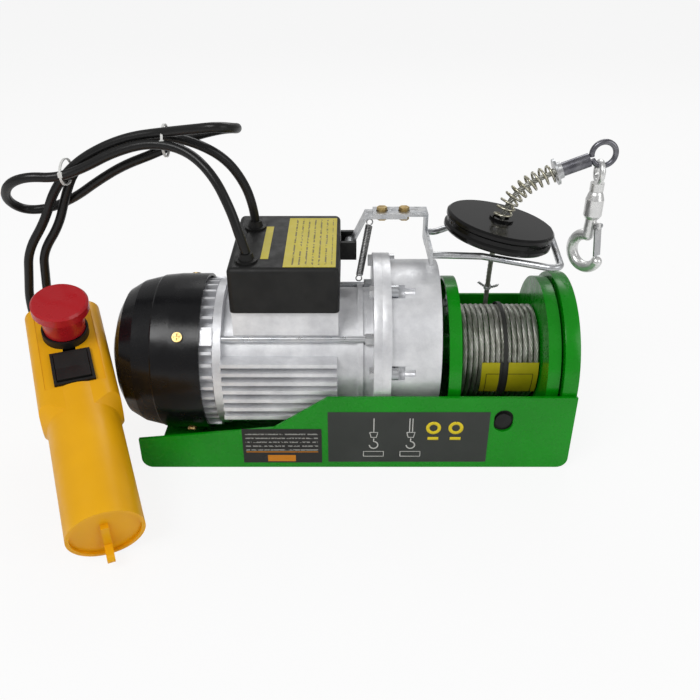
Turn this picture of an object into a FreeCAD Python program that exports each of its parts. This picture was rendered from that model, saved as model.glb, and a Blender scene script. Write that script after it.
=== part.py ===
"""Mini electric wire rope hoist with its pendant control, as separate named pieces.

The row frame is +X from the motor to the drum, +Z up, with the origin at the centre of the
frame's underside. The motor, its pinion and the drum share one axis above the origin.
"""
import FreeCAD, Part
import Sketcher
import math
import os
import re
from FreeCAD import Placement, Rotation, Vector

SIZES = [
    # Sheet-steel frame
    ("frame_length", 322, "frame along X"),
    ("frame_width", 132, "frame over both walls"),
    ("sheet", 2.5, "steel sheet thickness"),
    ("wall_top", 62.5, "height of the walls beside the gearbox"),
    ("wall_step", 36, "height of the walls where the slope starts"),
    ("wall_end", 26, "height of the walls at the motor end"),
    ("slope_top_x", -20, "upper end of the wall's slope"),
    ("slope_foot_x", -60, "lower end of the wall's slope"),
    ("rear_wall_top", 84, "height of the rear wall behind the drum"),
    ("rear_step_x", 62, "where the rear wall rises"),
    ("corner_round", 8, "rounding of the walls' outer corners"),
    ("slot_x", 109, "oblong wall slots, centre"),
    ("slot_z", 42.5, "oblong wall slots, centre height"),
    ("slot_width", 14, "oblong wall slots, width"),
    ("slot_height", 19, "oblong wall slots, end to end"),
    ("hang_spacing_x", 250, "suspension holes along X"),
    ("hang_spacing_y", 96, "suspension holes along Y"),
    ("hang_radius", 4.5, "suspension holes"),
    # Common axis, rope and drum
    ("axis_height", 65, "height of the motor and drum axis"),
    ("rope_diameter", 4, "steel wire rope"),
    ("rope_pitch", 4.1, "pitch of the turns on the drum"),
    ("rope_turns", 15, "turns in the outer layer"),
    ("drum_left", 77, "rope side of the left flange"),
    ("core_radius", 31, "drum tube"),
    ("core_wall", 3, "drum tube wall"),
    ("winding_radius", 37, "outside of the winding"),
    ("drum_flange_radius", 59, "both drum flanges"),
    ("drum_lip", 9, "depth of the drum flanges' lips"),
    ("shaft_radius", 8, "drum shaft"),
    ("end_plate_radius", 62.5, "round top of the end plate"),
    ("end_plate_depth", 11, "depth of the end plate's lip"),
    ("bush_wall", 3, "bush around the drum shaft"),
    ("fit", 0.05, "radial running clearance"),
    ("gap", 0.3, "clearance between faces that only lie close"),
    # Gearbox
    ("housing_height", 79, "height of the gear housing's centre"),
    ("flange_radius", 64, "gear housing flange"),
    ("flange_x", 13.5, "motor side of the cover"),
    ("cover_thick", 6, "gearbox cover"),
    ("flange_thick", 6.5, "flange of the housing"),
    ("housing_radius", 59, "outside of the housing's body"),
    ("housing_wall", 7, "cast wall"),
    ("housing_end", 62, "drum side of the housing"),
    ("bolt_circle", 58.5, "flange bolts, radius of their circle"),
    ("bolt_radius", 3, "flange bolts, shank"),
    ("bolt_head", 4.9, "flange bolts, head radius"),
    ("foot_width", 112, "housing foot along Y"),
    ("foot_length", 30, "housing foot along X"),
    ("foot_thick", 9, "housing foot"),
    ("gear_centres", 35, "distance from the main axis to the layshaft"),
    ("module_one", 1, "module of the first stage"),
    ("module_two", 1.25, "module of the second stage"),
    ("pinion_teeth", 11, "teeth of both pinions"),
    ("gear_one_x", 24, "first stage gear, start"),
    ("gear_one_width", 8, "first stage gear"),
    ("gear_two_x", 39, "drum gear, start"),
    ("gear_two_width", 12, "drum gear"),
    ("layshaft_radius", 5, "layshaft"),
    # Motor
    ("motor_radius", 50, "smooth motor tube"),
    ("stator_radius", 46, "stator and housing bore"),
    ("bell_radius", 57, "finned end bell and band"),
    ("bell_x", -119, "fan side of the end bell"),
    ("bell_depth", 16, "end bell along X"),
    ("stator_x", -86, "stator laminations, start"),
    ("stator_length", 62, "stator laminations"),
    ("winding_depth", 13, "end windings along X"),
    ("rotor_radius", 25.6, "rotor"),
    ("air_gap", 0.4, "between rotor and stator"),
    ("motor_shaft_radius", 7, "motor shaft"),
    ("bearing_radius", 15, "motor bearings, outside"),
    ("bearing_width", 10, "motor bearings"),
    ("fin_length", 84, "side fins along X"),
    ("fin_pitch", 7.4, "side fins, pitch"),
    ("fin_thick", 3, "side fins"),
    ("fin_reach", 58, "side fins, half width over them"),
    ("cover_radius", 61, "fan cover"),
    ("cover_tip", -186, "closed end of the fan cover"),
    ("cover_length", 74, "fan cover along X"),
    ("cover_wall", 2, "fan cover wall"),
    ("bolt_turn", 52, "angle of the first through-bolt"),
    ("tie_circle", 53.5, "through-bolts, radius of their circle"),
    ("tie_radius", 2.5, "through-bolts"),
    ("fan_radius", 47, "fan"),
    # Electrical box
    ("box_x", -89, "box, left side"),
    ("box_length", 78, "box along X"),
    ("box_width", 90, "box along Y"),
    ("box_bottom", 120, "underside of the box"),
    ("box_front_top", 154, "top of the box at the front"),
    ("box_rear_top", 162, "top of the box at the rear"),
    ("box_wall", 2.5, "moulded wall"),
    # Limit lever
    ("pivot_x", -8.4, "lever's pivot"),
    ("pivot_y", 36, "lever's pivot"),
    ("pivot_z", 141, "lever's pivot"),
    ("strap_width", 18, "lever strap along Y"),
    ("strap_thick", 2, "lever strap"),
    ("strap_top", 166, "top of the strap"),
    ("strap_bend_x", 9, "where the strap turns level"),
    ("bracket_x", 56, "outer face of the bracket's leg"),
    ("loop_z", 150, "height of the rope loop"),
    ("loop_rod", 5, "rod of the rope loop"),
    # Rope end, weight and hook
    ("weight_radius", 40.5, "weight"),
    ("weight_thick", 13.5, "weight"),
    ("weight_tilt", 11, "lean of the weight towards the drum's end"),
    ("weight_hole", 5.5, "radius of the weight's hole"),
    ("spring_radius", 7, "buffer spring"),
    ("ferrule_radius", 5, "pressed ferrule"),
    ("ferrule_length", 20, "pressed ferrule"),
    ("eye_radius", 9.5, "rope eye to the rope's middle"),
    ("ring_radius", 7, "hook's ring to the middle of its bar"),
    ("ring_bar", 2.2, "hook's ring, bar radius"),
    ("hook_bowl", 12.5, "hook's bowl to the middle of its bar"),
    ("hook_bar", 4.2, "hook's bar radius"),
    ("hook_facing", 35, "turn of the hook on its swivel"),
    # Pendant control
    ("pendant_length", 194, "pendant handset"),
    ("grip_radius", 24.75, "round grip"),
    ("head_width", 55, "head across the face"),
    ("head_depth", 46, "head from face to back"),
    ("head_length", 92, "head"),
    ("shell_wall", 2.5, "pendant shells"),
    ("button_radius", 20, "emergency stop mushroom"),
    ("button_from_end", 31, "emergency stop from the head's end"),
    ("rocker_length", 27, "rocker"),
    ("rocker_width", 24, "rocker"),
    ("rocker_from_end", 67, "rocker's middle from the head's end"),
    ("cord_diameter", 6.8, "control and mains cords"),
]

doc = FreeCAD.newDocument("WireRopeHoist")
sheet = doc.addObject("Spreadsheet::Sheet", "Sizes")
for row, (alias, number, note) in enumerate(SIZES, start=1):
    sheet.set(f"A{row}", alias)
    sheet.set(f"B{row}", str(number))
    sheet.setAlias(f"B{row}", alias)
    sheet.set(f"C{row}", note)
doc.recompute()
ALIASES = {alias for alias, _, _ in SIZES}


class SheetReader:
    """Reads a driving dimension from the sheet by its alias."""

    def __getattr__(self, alias):
        return float(sheet.get(alias))


size = SheetReader()
NODES = []
ALONG = {
    "X": Rotation(Vector(0, 1, 0), 90),
    "Y": Rotation(Vector(1, 0, 0), -90),
    "Z": Rotation(),
}


# ---- Building blocks ---------------------------------------------------------------------

def bound(text):
    """An expression on the sheet from text that names aliases."""
    return re.sub(r"[a-z]\w*", lambda word: "Sizes." + word[0] if word[0] in ALIASES else word[0], str(text))


def bind(thing, **properties):
    for name, text in properties.items():
        thing.setExpression(name, bound(text))
    return thing


def place(thing, x=0, y=0, z=0, turn=None):
    if turn is not None:
        thing.Placement = Placement(Vector(), turn)
    for letter, text in (("x", x), ("y", y), ("z", z)):
        thing.setExpression(f"Placement.Base.{letter}", bound(text))
    return thing


def node(thing, label):
    """Names a finished sub-part, which is exported under that name."""
    thing.Label = label
    NODES.append(thing)
    return thing


def rod(radius, length, x=0, y=0, z="axis_height", along="X"):
    thing = bind(doc.addObject("Part::Cylinder", "rod"), Radius=radius, Height=length)
    return place(thing, x, y, z, ALONG[along])


def block(length, width, height, x=0, y=0, z=0):
    thing = bind(doc.addObject("Part::Box", "block"), Length=length, Width=width, Height=height)
    return place(thing, x, y, z)


def fuse(*things):
    thing = doc.addObject("Part::MultiFuse", "fuse")
    thing.Shapes = list(things)
    return thing


def cut(base, *tools):
    thing = doc.addObject("Part::Cut", "cut")
    thing.Base = base
    thing.Tool = tools[0] if len(tools) == 1 else fuse(*tools)
    return thing


def ring(outer, inner, length, x=0, y=0, z="axis_height", along="X"):
    return cut(rod(outer, length, x, y, z, along), rod(inner, length, x, y, z, along))


def solid(shape, name="shape"):
    """A shape made with Part's own functions, from sizes read off the sheet."""
    thing = doc.addObject("Part::Feature", name)
    thing.Shape = shape
    return thing


def plane(body, role):
    return next(feature for feature in body.Origin.OriginFeatures if feature.Role == role)


def sketch_outline(body, role, corners):
    """A closed outline whose corners are held at expressions of the sheet."""
    sketch = body.newObject("Sketcher::SketchObject", "outline")
    sketch.AttachmentSupport = [(plane(body, role), "")]
    sketch.MapMode = "FlatFace"
    numbers = [Vector(*[number_of(text) for text in corner], 0) for corner in corners]
    count = len(corners)
    for index, start in enumerate(numbers):
        sketch.addGeometry(Part.LineSegment(start, numbers[(index + 1) % count]), False)
    for index in range(count):
        sketch.addConstraint(Sketcher.Constraint("Coincident", index, 2, (index + 1) % count, 1))
    for index, corner in enumerate(corners):
        for kind, axis, text, number in zip(("DistanceX", "DistanceY"), (-2, -1), corner, numbers[index]):
            if number == 0:
                sketch.addConstraint(Sketcher.Constraint("PointOnObject", index, 1, axis))
                continue
            place_at = sketch.addConstraint(Sketcher.Constraint(kind, -1, 1, index, 1, number))
            sketch.setExpression(f"Constraints[{place_at}]", bound(text))
    return sketch


def number_of(text):
    """The value of an expression that names aliases."""
    sheet.set("E1", f"={text}")
    sheet.recompute()
    return float(sheet.get("E1"))


def turned(corners, about="X", name="turned"):
    """A PartDesign body turned about X from (x, r) corners, or about Z from (r, z) corners."""
    body = doc.addObject("PartDesign::Body", name)
    role, axis = ("XY_Plane", "H_Axis") if about == "X" else ("XZ_Plane", "V_Axis")
    sketch = sketch_outline(body, role, corners)
    revolution = body.newObject("PartDesign::Revolution", "revolution")
    revolution.Profile = sketch
    revolution.ReferenceAxis = (sketch, [axis])
    revolution.Angle = 360
    return body


def padded(corners, depth, role="XZ_Plane", name="padded"):
    """A PartDesign body padded from an outline, along the plane's normal."""
    body = doc.addObject("PartDesign::Body", name)
    pad = body.newObject("PartDesign::Pad", "pad")
    pad.Profile = sketch_outline(body, role, corners)
    pad.setExpression("Length", bound(depth))
    return body


def rounded(body, radius, wanted):
    """Fillets the body's edges that the test picks out."""
    doc.recompute()
    edges = [f"Edge{index}" for index, edge in enumerate(body.Shape.Edges, start=1) if wanted(edge)]
    finished = body.Tip
    fillet = body.newObject("PartDesign::Fillet", "rounding")
    fillet.Base = (finished, edges)
    fillet.setExpression("Radius", bound(radius))
    body.Tip = fillet
    return body


def polar(radius, degrees, centre_z):
    """Y and Z of a point on a circle about an axis along X."""
    turn = math.radians(degrees)
    return radius * math.cos(turn), centre_z + radius * math.sin(turn)


def rod_shape(radius, start, end):
    return Part.makeCylinder(radius, (end - start).Length, start, end - start)


def hexagon(across, length, start, along="X"):
    """A hexagonal head or nut from its start point."""
    corners = [Vector(across / math.sqrt(3) * math.cos(math.radians(60 * k)),
                      across / math.sqrt(3) * math.sin(math.radians(60 * k)), 0) for k in range(6)]
    prism = Part.Face(Part.makePolygon(corners + corners[:1])).extrude(Vector(0, 0, length))
    prism.Placement = Placement(start, ALONG[along])
    return prism


# ---- Frame -------------------------------------------------------------------------------

def walls():
    """The U of sheet steel: base, sloped front wall and taller rear wall."""
    low = [("-frame_length/2", 0), ("frame_length/2", 0)]
    slope = [("slope_top_x", "wall_top"), ("slope_foot_x", "wall_step"), ("-frame_length/2", "wall_end")]
    front_outline = low + [("frame_length/2", "wall_top")] + slope
    rear_outline = (low + [("frame_length/2", "rear_wall_top"), ("rear_step_x+8", "rear_wall_top"),
                           ("rear_step_x", "wall_top")] + slope)
    made = []
    for name, outline, y in (("front_wall", front_outline, "-frame_width/2+sheet"),
                             ("rear_wall", rear_outline, "frame_width/2")):
        wall = padded(outline, "sheet", "XZ_Plane", name)
        place(wall, y=y)
        corner = rounded(wall, "corner_round", lambda edge: is_end_corner(edge))
        made.append(corner)
    base = block("frame_length-2*corner_round", "frame_width-2*sheet", "sheet",
                 "-frame_length/2+corner_round", "-frame_width/2+sheet")
    return made + [base]


def is_end_corner(edge):
    """True for a straight edge through the sheet at a lower corner of a wall."""
    first, last = edge.Vertexes[0].Point, edge.Vertexes[-1].Point
    across = abs(first.x - last.x) + abs(first.z - last.z) < 0.01
    return across and abs(abs(first.x) - size.frame_length / 2) < 0.01 and first.z < 0.01


def frame():
    tools = []
    for y in ("-frame_width/2-1", "frame_width/2-sheet-1"):
        tools.append(block("slot_width", "sheet+2", "slot_height-slot_width", "slot_x-slot_width/2", y,
                           "slot_z-slot_height/2+slot_width/2"))
        for side in ("-", "+"):
            tools.append(rod("slot_width/2", "sheet+2", "slot_x", y,
                             f"slot_z{side}(slot_height-slot_width)/2", "Y"))
    for across in ("-", "+"):
        for along in ("-", "+"):
            tools.append(rod("hang_radius", "sheet+2", f"{along}hang_spacing_x/2",
                             f"{across}hang_spacing_y/2", -1, "Z"))
    node(cut(fuse(*walls()), *tools), "frame")


def end_plate():
    """Dished plate with a round top, standing on the base at the drum's end."""
    outer = fuse(rod("end_plate_radius", "end_plate_depth", "frame_length/2-end_plate_depth"),
                 block("end_plate_depth", "2*end_plate_radius", "axis_height-sheet",
                       "frame_length/2-end_plate_depth", "-end_plate_radius", "sheet"))
    start = "frame_length/2-end_plate_depth+sheet"
    hollow = fuse(rod("end_plate_radius-sheet", "end_plate_depth", start),
                  block("end_plate_depth", "2*(end_plate_radius-sheet)", "axis_height-2*sheet",
                        start, "-end_plate_radius+sheet", "2*sheet"))
    bore = rod("shaft_radius+bush_wall", "2*end_plate_depth", "frame_length/2-1.5*end_plate_depth")
    node(cut(outer, hollow, bore), "end_plate")
    bush = cut(fuse(rod("shaft_radius+bush_wall", "sheet+3", "frame_length/2-end_plate_depth"),
                    rod("shaft_radius+2*bush_wall", 3, start)),
               rod("shaft_radius+fit", "4*sheet", "frame_length/2-end_plate_depth-1"))
    bearing = ring("shaft_radius+7", "shaft_radius+fit", 10, "housing_end-6")
    node(fuse(bush, bearing), "drum_bearings")


def slot_studs():
    """A stud with its nut behind each oblong slot, for the suspension brackets."""
    shapes = []
    inner = size.frame_width / 2 - size.sheet
    for side in (-1, 1):
        nut = hexagon(19, 6.5, Vector(size.slot_x, side * inner if side < 0 else inner - 6.5, size.slot_z), "Y")
        stud = Part.makeCylinder(5.9, 9, Vector(size.slot_x, -inner - 2 if side < 0 else inner - 7, size.slot_z),
                                 Vector(0, 1, 0))
        shapes.append(nut.fuse(stud))
    return shapes


# ---- Drum and rope winding ---------------------------------------------------------------

def drum():
    right = "drum_left+rope_turns*rope_pitch+0.5"
    shaft_start = "gear_two_x-2"
    node(rod("shaft_radius", f"frame_length/2+2-({shaft_start})", shaft_start), "drum_shaft")
    tube = ring("core_radius", "core_radius-core_wall", f"{right}-drum_left", "drum_left")
    profile = [(0, "shaft_radius"), (0, "drum_flange_radius"), ("drum_lip", "drum_flange_radius"),
               ("drum_lip", "drum_flange_radius-sheet"), ("sheet", "drum_flange_radius-sheet"),
               ("sheet", "shaft_radius+5"), ("drum_lip-1", "shaft_radius+5"), ("drum_lip-1", "shaft_radius")]
    flanges = [place(turned(profile, "X", "flange"), x, 0, "axis_height", turn)
               for x, turn in (("drum_left", Rotation(Vector(0, 0, 1), 180)), (right, Rotation()))]
    node(fuse(tube, *flanges), "drum")
    width = "rope_turns*rope_pitch"
    spool = [(0, "core_radius+gap"), (0, "winding_radius"), (width, "winding_radius"), (width, "core_radius+gap")]
    body = turned(spool, "X", "winding")
    doc.recompute()
    notch = [(0, "winding_radius-rope_diameter/4"), ("-rope_diameter/4", "winding_radius+1"),
             ("rope_diameter/4", "winding_radius+1")]
    groove = body.newObject("PartDesign::Groove", "between_turns")
    groove.Profile = sketch_outline(body, "XY_Plane", notch)
    groove.ReferenceAxis = (groove.Profile[0], ["H_Axis"])
    groove.Angle = 360
    pattern = body.newObject("PartDesign::LinearPattern", "turns")
    pattern.Originals = [groove]
    pattern.Direction = (plane(body, "X_Axis"), [""])
    pattern.setExpression("Length", bound(width))
    pattern.setExpression("Occurrences", bound("rope_turns+1"))
    body.Tip = pattern
    node(place(body, "drum_left+0.25", 0, "axis_height"), "rope_winding")
    clamp = block(4, 14, 9, "drum_left-sheet-4", -7, "axis_height+core_radius+6")
    screw = rod(3.2, 2.5, "drum_left-sheet-6.5", 0, "axis_height+core_radius+10.5")
    node(fuse(clamp, screw), "rope_clamp")


def tag_and_strap():
    """A card laid on the winding and the band that holds it."""
    radius = size.winding_radius + size.gap
    start = size.drum_left + 18
    end = size.drum_left + size.rope_turns * size.rope_pitch - 1
    corners = [Vector(start, -radius, 0), Vector(end, -radius, 0), Vector(end, -radius - 0.6, 0),
               Vector(start, -radius - 0.6, 0)]
    edge = Part.Face(Part.makePolygon(corners + corners[:1]))
    edge.rotate(Vector(), Vector(1, 0, 0), -15)
    card = edge.revolve(Vector(), Vector(1, 0, 0), 42)
    card.translate(Vector(0, 0, size.axis_height))
    band = Part.makeCylinder(radius + 1.3, 3, Vector(start + 16, 0, size.axis_height), Vector(1, 0, 0))
    band = band.cut(Part.makeCylinder(radius + 0.7, 3, Vector(start + 16, 0, size.axis_height), Vector(1, 0, 0)))
    node(solid(Part.makeCompound([card, band])), "rope_card")


# ---- Gears -------------------------------------------------------------------------------

def gear_shape(teeth, module, width, turn, tip, bore):
    """Spur gear about X from x = 0, with involute flanks and a tooth centred at the angle turn."""
    pitch, pressure = module * teeth / 2, math.radians(20)
    base = pitch * math.cos(pressure)
    outside, root = pitch + tip * module, pitch - 1.25 * module
    involute = math.tan(pressure) - pressure
    half = math.pi / (2 * teeth) - 0.05 / pitch
    flank = []
    for radius in [max(base, root) + (outside - max(base, root)) * k / 3 for k in range(4)]:
        roll = math.acos(min(1, base / radius))
        flank.append((radius, half + involute - (math.tan(roll) - roll)))
    side = ([(root, flank[0][1])] if root < base else []) + flank
    points = []
    for tooth in range(teeth):
        middle = math.radians(turn) + 2 * math.pi * tooth / teeth
        for radius, angle in side:
            points.append(Vector(0, radius * math.cos(middle - angle), radius * math.sin(middle - angle)))
        for radius, angle in reversed(side):
            points.append(Vector(0, radius * math.cos(middle + angle), radius * math.sin(middle + angle)))
    blank = Part.Face(Part.makePolygon(points + points[:1])).extrude(Vector(width, 0, 0))
    return blank.cut(Part.makeCylinder(bore, width, Vector(), Vector(1, 0, 0))) if bore else blank


def gears():
    """Two reduction stages: the layshaft stands above the common axis."""
    teeth = int(size.pinion_teeth)
    teeth_one = int(round(2 * size.gear_centres / size.module_one)) - teeth
    teeth_two = int(round(2 * size.gear_centres / size.module_two)) - teeth
    low = Vector(0, 0, size.axis_height)
    high = low + Vector(0, 0, size.gear_centres)
    half_one, half_two = 180 / teeth_one, 180 / teeth_two
    large_one = gear_shape(teeth_one, size.module_one, size.gear_one_width, -90 + half_one, 0.6,
                           size.layshaft_radius)
    large_one.translate(high + Vector(size.gear_one_x, 0, 0))
    node(solid(large_one), "layshaft_gear")
    pinion_start = size.gear_one_x + size.gear_one_width + 2
    small_two = gear_shape(teeth, size.module_two, size.gear_two_x + size.gear_two_width + 1 - pinion_start,
                           -90, 0.9, 0)
    small_two.translate(high + Vector(pinion_start, 0, 0))
    shaft_end = size.housing_end - size.housing_wall + 4
    shaft = Part.makeCylinder(size.layshaft_radius, pinion_start - size.flange_x - 1.5,
                              high + Vector(size.flange_x + 1.5, 0, 0), Vector(1, 0, 0))
    far = size.gear_two_x + size.gear_two_width + 1
    shaft = shaft.fuse(Part.makeCylinder(size.layshaft_radius, shaft_end - far, high + Vector(far, 0, 0),
                                         Vector(1, 0, 0)))
    node(solid(shaft.fuse(small_two)), "layshaft_pinion")
    large_two = gear_shape(teeth_two, size.module_two, size.gear_two_width, 90 + half_two, 0.6,
                           size.shaft_radius)
    large_two.translate(low + Vector(size.gear_two_x, 0, 0))
    node(solid(large_two), "drum_gear")
    return gear_shape(teeth, size.module_one, size.gear_one_width + 4, 90, 0.9, 0)


# ---- Gearbox -----------------------------------------------------------------------------

def flange_bolt_places():
    return [polar(size.bolt_circle, 60 * k, size.housing_height) for k in range(6)]


def gearbox():
    centre = "housing_height"
    inner = "housing_radius-housing_wall"
    flange_start = "flange_x+cover_thick"
    cover = fuse(rod("flange_radius", "cover_thick", "flange_x", 0, centre),
                 rod("tie_circle+5", "cover_thick", "flange_x"),
                 rod("bearing_radius+4", "bearing_width+1", "flange_x-bearing_width-1"))
    holes = [rod("bolt_radius", 40, "flange_x-10", y, z) for y, z in flange_bolt_places()]
    ties = [rod("tie_radius", 40, "flange_x-30", *polar(size.tie_circle, size.bolt_turn + 90 * k,
                                                        size.axis_height)) for k in range(4)]
    lay = rod("layshaft_radius+2", "cover_thick", "flange_x+1.5", 0, "axis_height+gear_centres")
    bore = rod("motor_shaft_radius+gap", 60, "flange_x-30")
    seat = rod("bearing_radius", "bearing_width", "flange_x-bearing_width-1")
    node(cut(cover, *holes, *ties, lay, bore, seat), "gearbox_cover")
    body = fuse(rod("flange_radius", "flange_thick", flange_start, 0, centre),
                rod("housing_radius", f"housing_end-({flange_start})", flange_start, 0, centre),
                rod("shaft_radius+14", 4, "housing_end"),
                block("foot_length", "foot_width-30", 30, "housing_end-foot_length-2",
                      "-foot_width/2+15", "sheet"),
                block("foot_length", "foot_width", "foot_thick", "housing_end-foot_length-2",
                      "-foot_width/2", "sheet"))
    cavity = rod(inner, f"housing_end-housing_wall-({flange_start})", flange_start, 0, centre)
    scallops = [rod("bolt_head+0.9", 10, f"{flange_start}+flange_thick", y, z) for y, z in flange_bolt_places()]
    holes = [rod("bolt_radius", 40, "flange_x-10", y, z) for y, z in flange_bolt_places()]
    shaft_hole = rod("shaft_radius+7", 30, "housing_end-housing_wall-2")
    lay_seat = rod("layshaft_radius+2", 4, "housing_end-housing_wall", 0, "axis_height+gear_centres")
    feet = [rod(4, 20, x, f"{side}(foot_width/2-7)", "sheet-1", "Z")
            for side in ("-", "+") for x in ("housing_end-9", "housing_end-foot_length+5")]
    node(cut(body, cavity, *scallops, *holes, shaft_hole, lay_seat, *feet), "gear_housing")
    bushes = fuse(ring("layshaft_radius+2", "layshaft_radius+fit", "cover_thick-1.5", "flange_x+1.5", 0,
                       "axis_height+gear_centres"),
                  ring("layshaft_radius+2", "layshaft_radius+fit", 4, "housing_end-housing_wall", 0,
                       "axis_height+gear_centres"))
    node(bushes, "layshaft_bushes")


def gearbox_bolts():
    start = size.flange_x - 5
    grip = size.cover_thick + size.flange_thick
    shapes = []
    for y, z in flange_bolt_places():
        shank = rod_shape(size.bolt_radius, Vector(start + 5, y, z), Vector(start + 5 + grip + 4, y, z))
        head = Part.makeCylinder(size.bolt_head, 5, Vector(start + 5 + grip, y, z), Vector(1, 0, 0))
        head = head.cut(hexagon(4, 2.5, Vector(start + 5 + grip + 2.6, y, z)))
        clear_of_motor = math.hypot(y, z - size.axis_height) > size.motor_radius + 8
        nut = [hexagon(8.4, 3.2, Vector(start + 1.8, y, z))] if clear_of_motor else []
        shapes.append(shank.fuse([head] + nut))
    node(solid(Part.makeCompound(shapes)), "housing_bolts")
    shapes = slot_studs()
    for side in (-1, 1):
        for x in (size.housing_end - 9, size.housing_end - size.foot_length + 5):
            foot = Vector(x, side * (size.foot_width / 2 - 7), size.sheet)
            shank = rod_shape(4, foot, foot + Vector(0, 0, size.foot_thick + 1))
            shapes.append(shank.fuse(hexagon(13, 5, foot + Vector(0, 0, size.foot_thick), "Z")))
    node(solid(Part.makeCompound(shapes)), "frame_bolts")


# ---- Motor -------------------------------------------------------------------------------

def motor_housing():
    """Finned tube with a band at the end bell, side fins and the pad under the box."""
    start = size.bell_x + size.bell_depth
    centre = Vector(0, 0, size.axis_height)
    end = size.flange_x
    tube = Part.makeCylinder(size.motor_radius, end - start, centre + Vector(start, 0, 0), Vector(1, 0, 0))
    band = Part.makeCylinder(size.bell_radius, 6, centre + Vector(start, 0, 0), Vector(1, 0, 0))
    front = Part.makeCylinder(size.motor_radius + 2.5, 4, centre + Vector(end - 11.5, 0, 0), Vector(1, 0, 0))
    parts = [band, front]
    for side in (-1, 1):
        for k in range(7):
            z = size.axis_height - 2.6 * size.fin_pitch + (k - 1) * size.fin_pitch
            fin = Part.makeBox(size.fin_length, size.fin_reach - 20, size.fin_thick)
            fin.translate(Vector(start + 6, 20 if side > 0 else -size.fin_reach, z))
            parts.append(fin)
    pad = Part.makeBox(size.box_length - 2, size.box_width - 6, size.box_bottom - size.axis_height - 30)
    pad.translate(Vector(size.box_x + 1, -size.box_width / 2 + 3, size.axis_height + 30))
    parts.append(pad)
    bore = Part.makeCylinder(size.stator_radius, end - start, centre + Vector(start, 0, 0), Vector(1, 0, 0))
    housing = tube.fuse(parts).cut(bore)
    wires = Part.makeCylinder(9, 60, Vector(size.box_x + 16, 0, size.axis_height + 25))
    housing = housing.cut(wires)
    for k in range(4):
        y, z = polar(size.tie_circle, size.bolt_turn + 90 * k, size.axis_height)
        tie = Vector(start, y, z)
        housing = housing.cut(rod_shape(size.tie_radius + size.gap, tie, tie + Vector(end - start, 0, 0)))
        nut = Vector(end - 7, y, z)
        housing = housing.cut(rod_shape(5.2, nut, nut + Vector(7, 0, 0)))
    node(solid(housing.removeSplitter()), "motor_housing")


def end_bell():
    """Cast end bell with radial ribs, a bearing seat and four lugs for the fan cover."""
    centre = Vector(size.bell_x, 0, size.axis_height)
    ax = Vector(1, 0, 0)
    body = Part.makeCylinder(size.motor_radius, size.bell_depth, centre, ax)
    body = body.cut(Part.makeCylinder(size.stator_radius - 3, size.bell_depth - 4, centre + ax * 4, ax))
    body = body.fuse(Part.makeCylinder(size.bearing_radius + 4, size.bearing_width + 3, centre, ax))
    ribs = []
    count = 40
    for k in range(count):
        rib = Part.makeBox(size.bell_depth - 1, 2.4, size.bell_radius - size.motor_radius + 2)
        rib.translate(Vector(size.bell_x + 0.5, -1.2, size.motor_radius - 2))
        rib.rotate(Vector(), ax, 360 * k / count)
        ribs.append(rib)
    for k in range(4):
        lug = Part.makeBox(size.bell_depth + 14, 11, size.cover_radius - size.cover_wall - size.gap - 49)
        lug.translate(Vector(size.bell_x - 14, -5.5, 49))
        lug.rotate(Vector(), ax, size.bolt_turn + 90 * k - 90)
        ribs.append(lug)
    for rib in ribs:
        rib.translate(Vector(0, 0, size.axis_height))
    body = body.fuse(ribs)
    body = body.cut(Part.makeCylinder(size.bearing_radius, size.bearing_width, centre + ax * 3, ax))
    body = body.cut(Part.makeCylinder(size.motor_shaft_radius + 1, 40, centre - ax * 10, ax))
    for k in range(4):
        y, z = polar(size.tie_circle, size.bolt_turn + 90 * k, size.axis_height)
        body = body.cut(rod_shape(size.tie_radius, Vector(size.bell_x - 20, y, z), Vector(0, y, z)))
        cy, cz = polar(size.cover_radius, size.bolt_turn + 90 * k, size.axis_height)
        iy, iz = polar(51, size.bolt_turn + 90 * k, size.axis_height)
        x = size.bell_x - 8
        body = body.cut(rod_shape(1.6, Vector(x, iy, iz), Vector(x, cy, cz)))
    node(solid(body.removeSplitter()), "end_bell")


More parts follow.
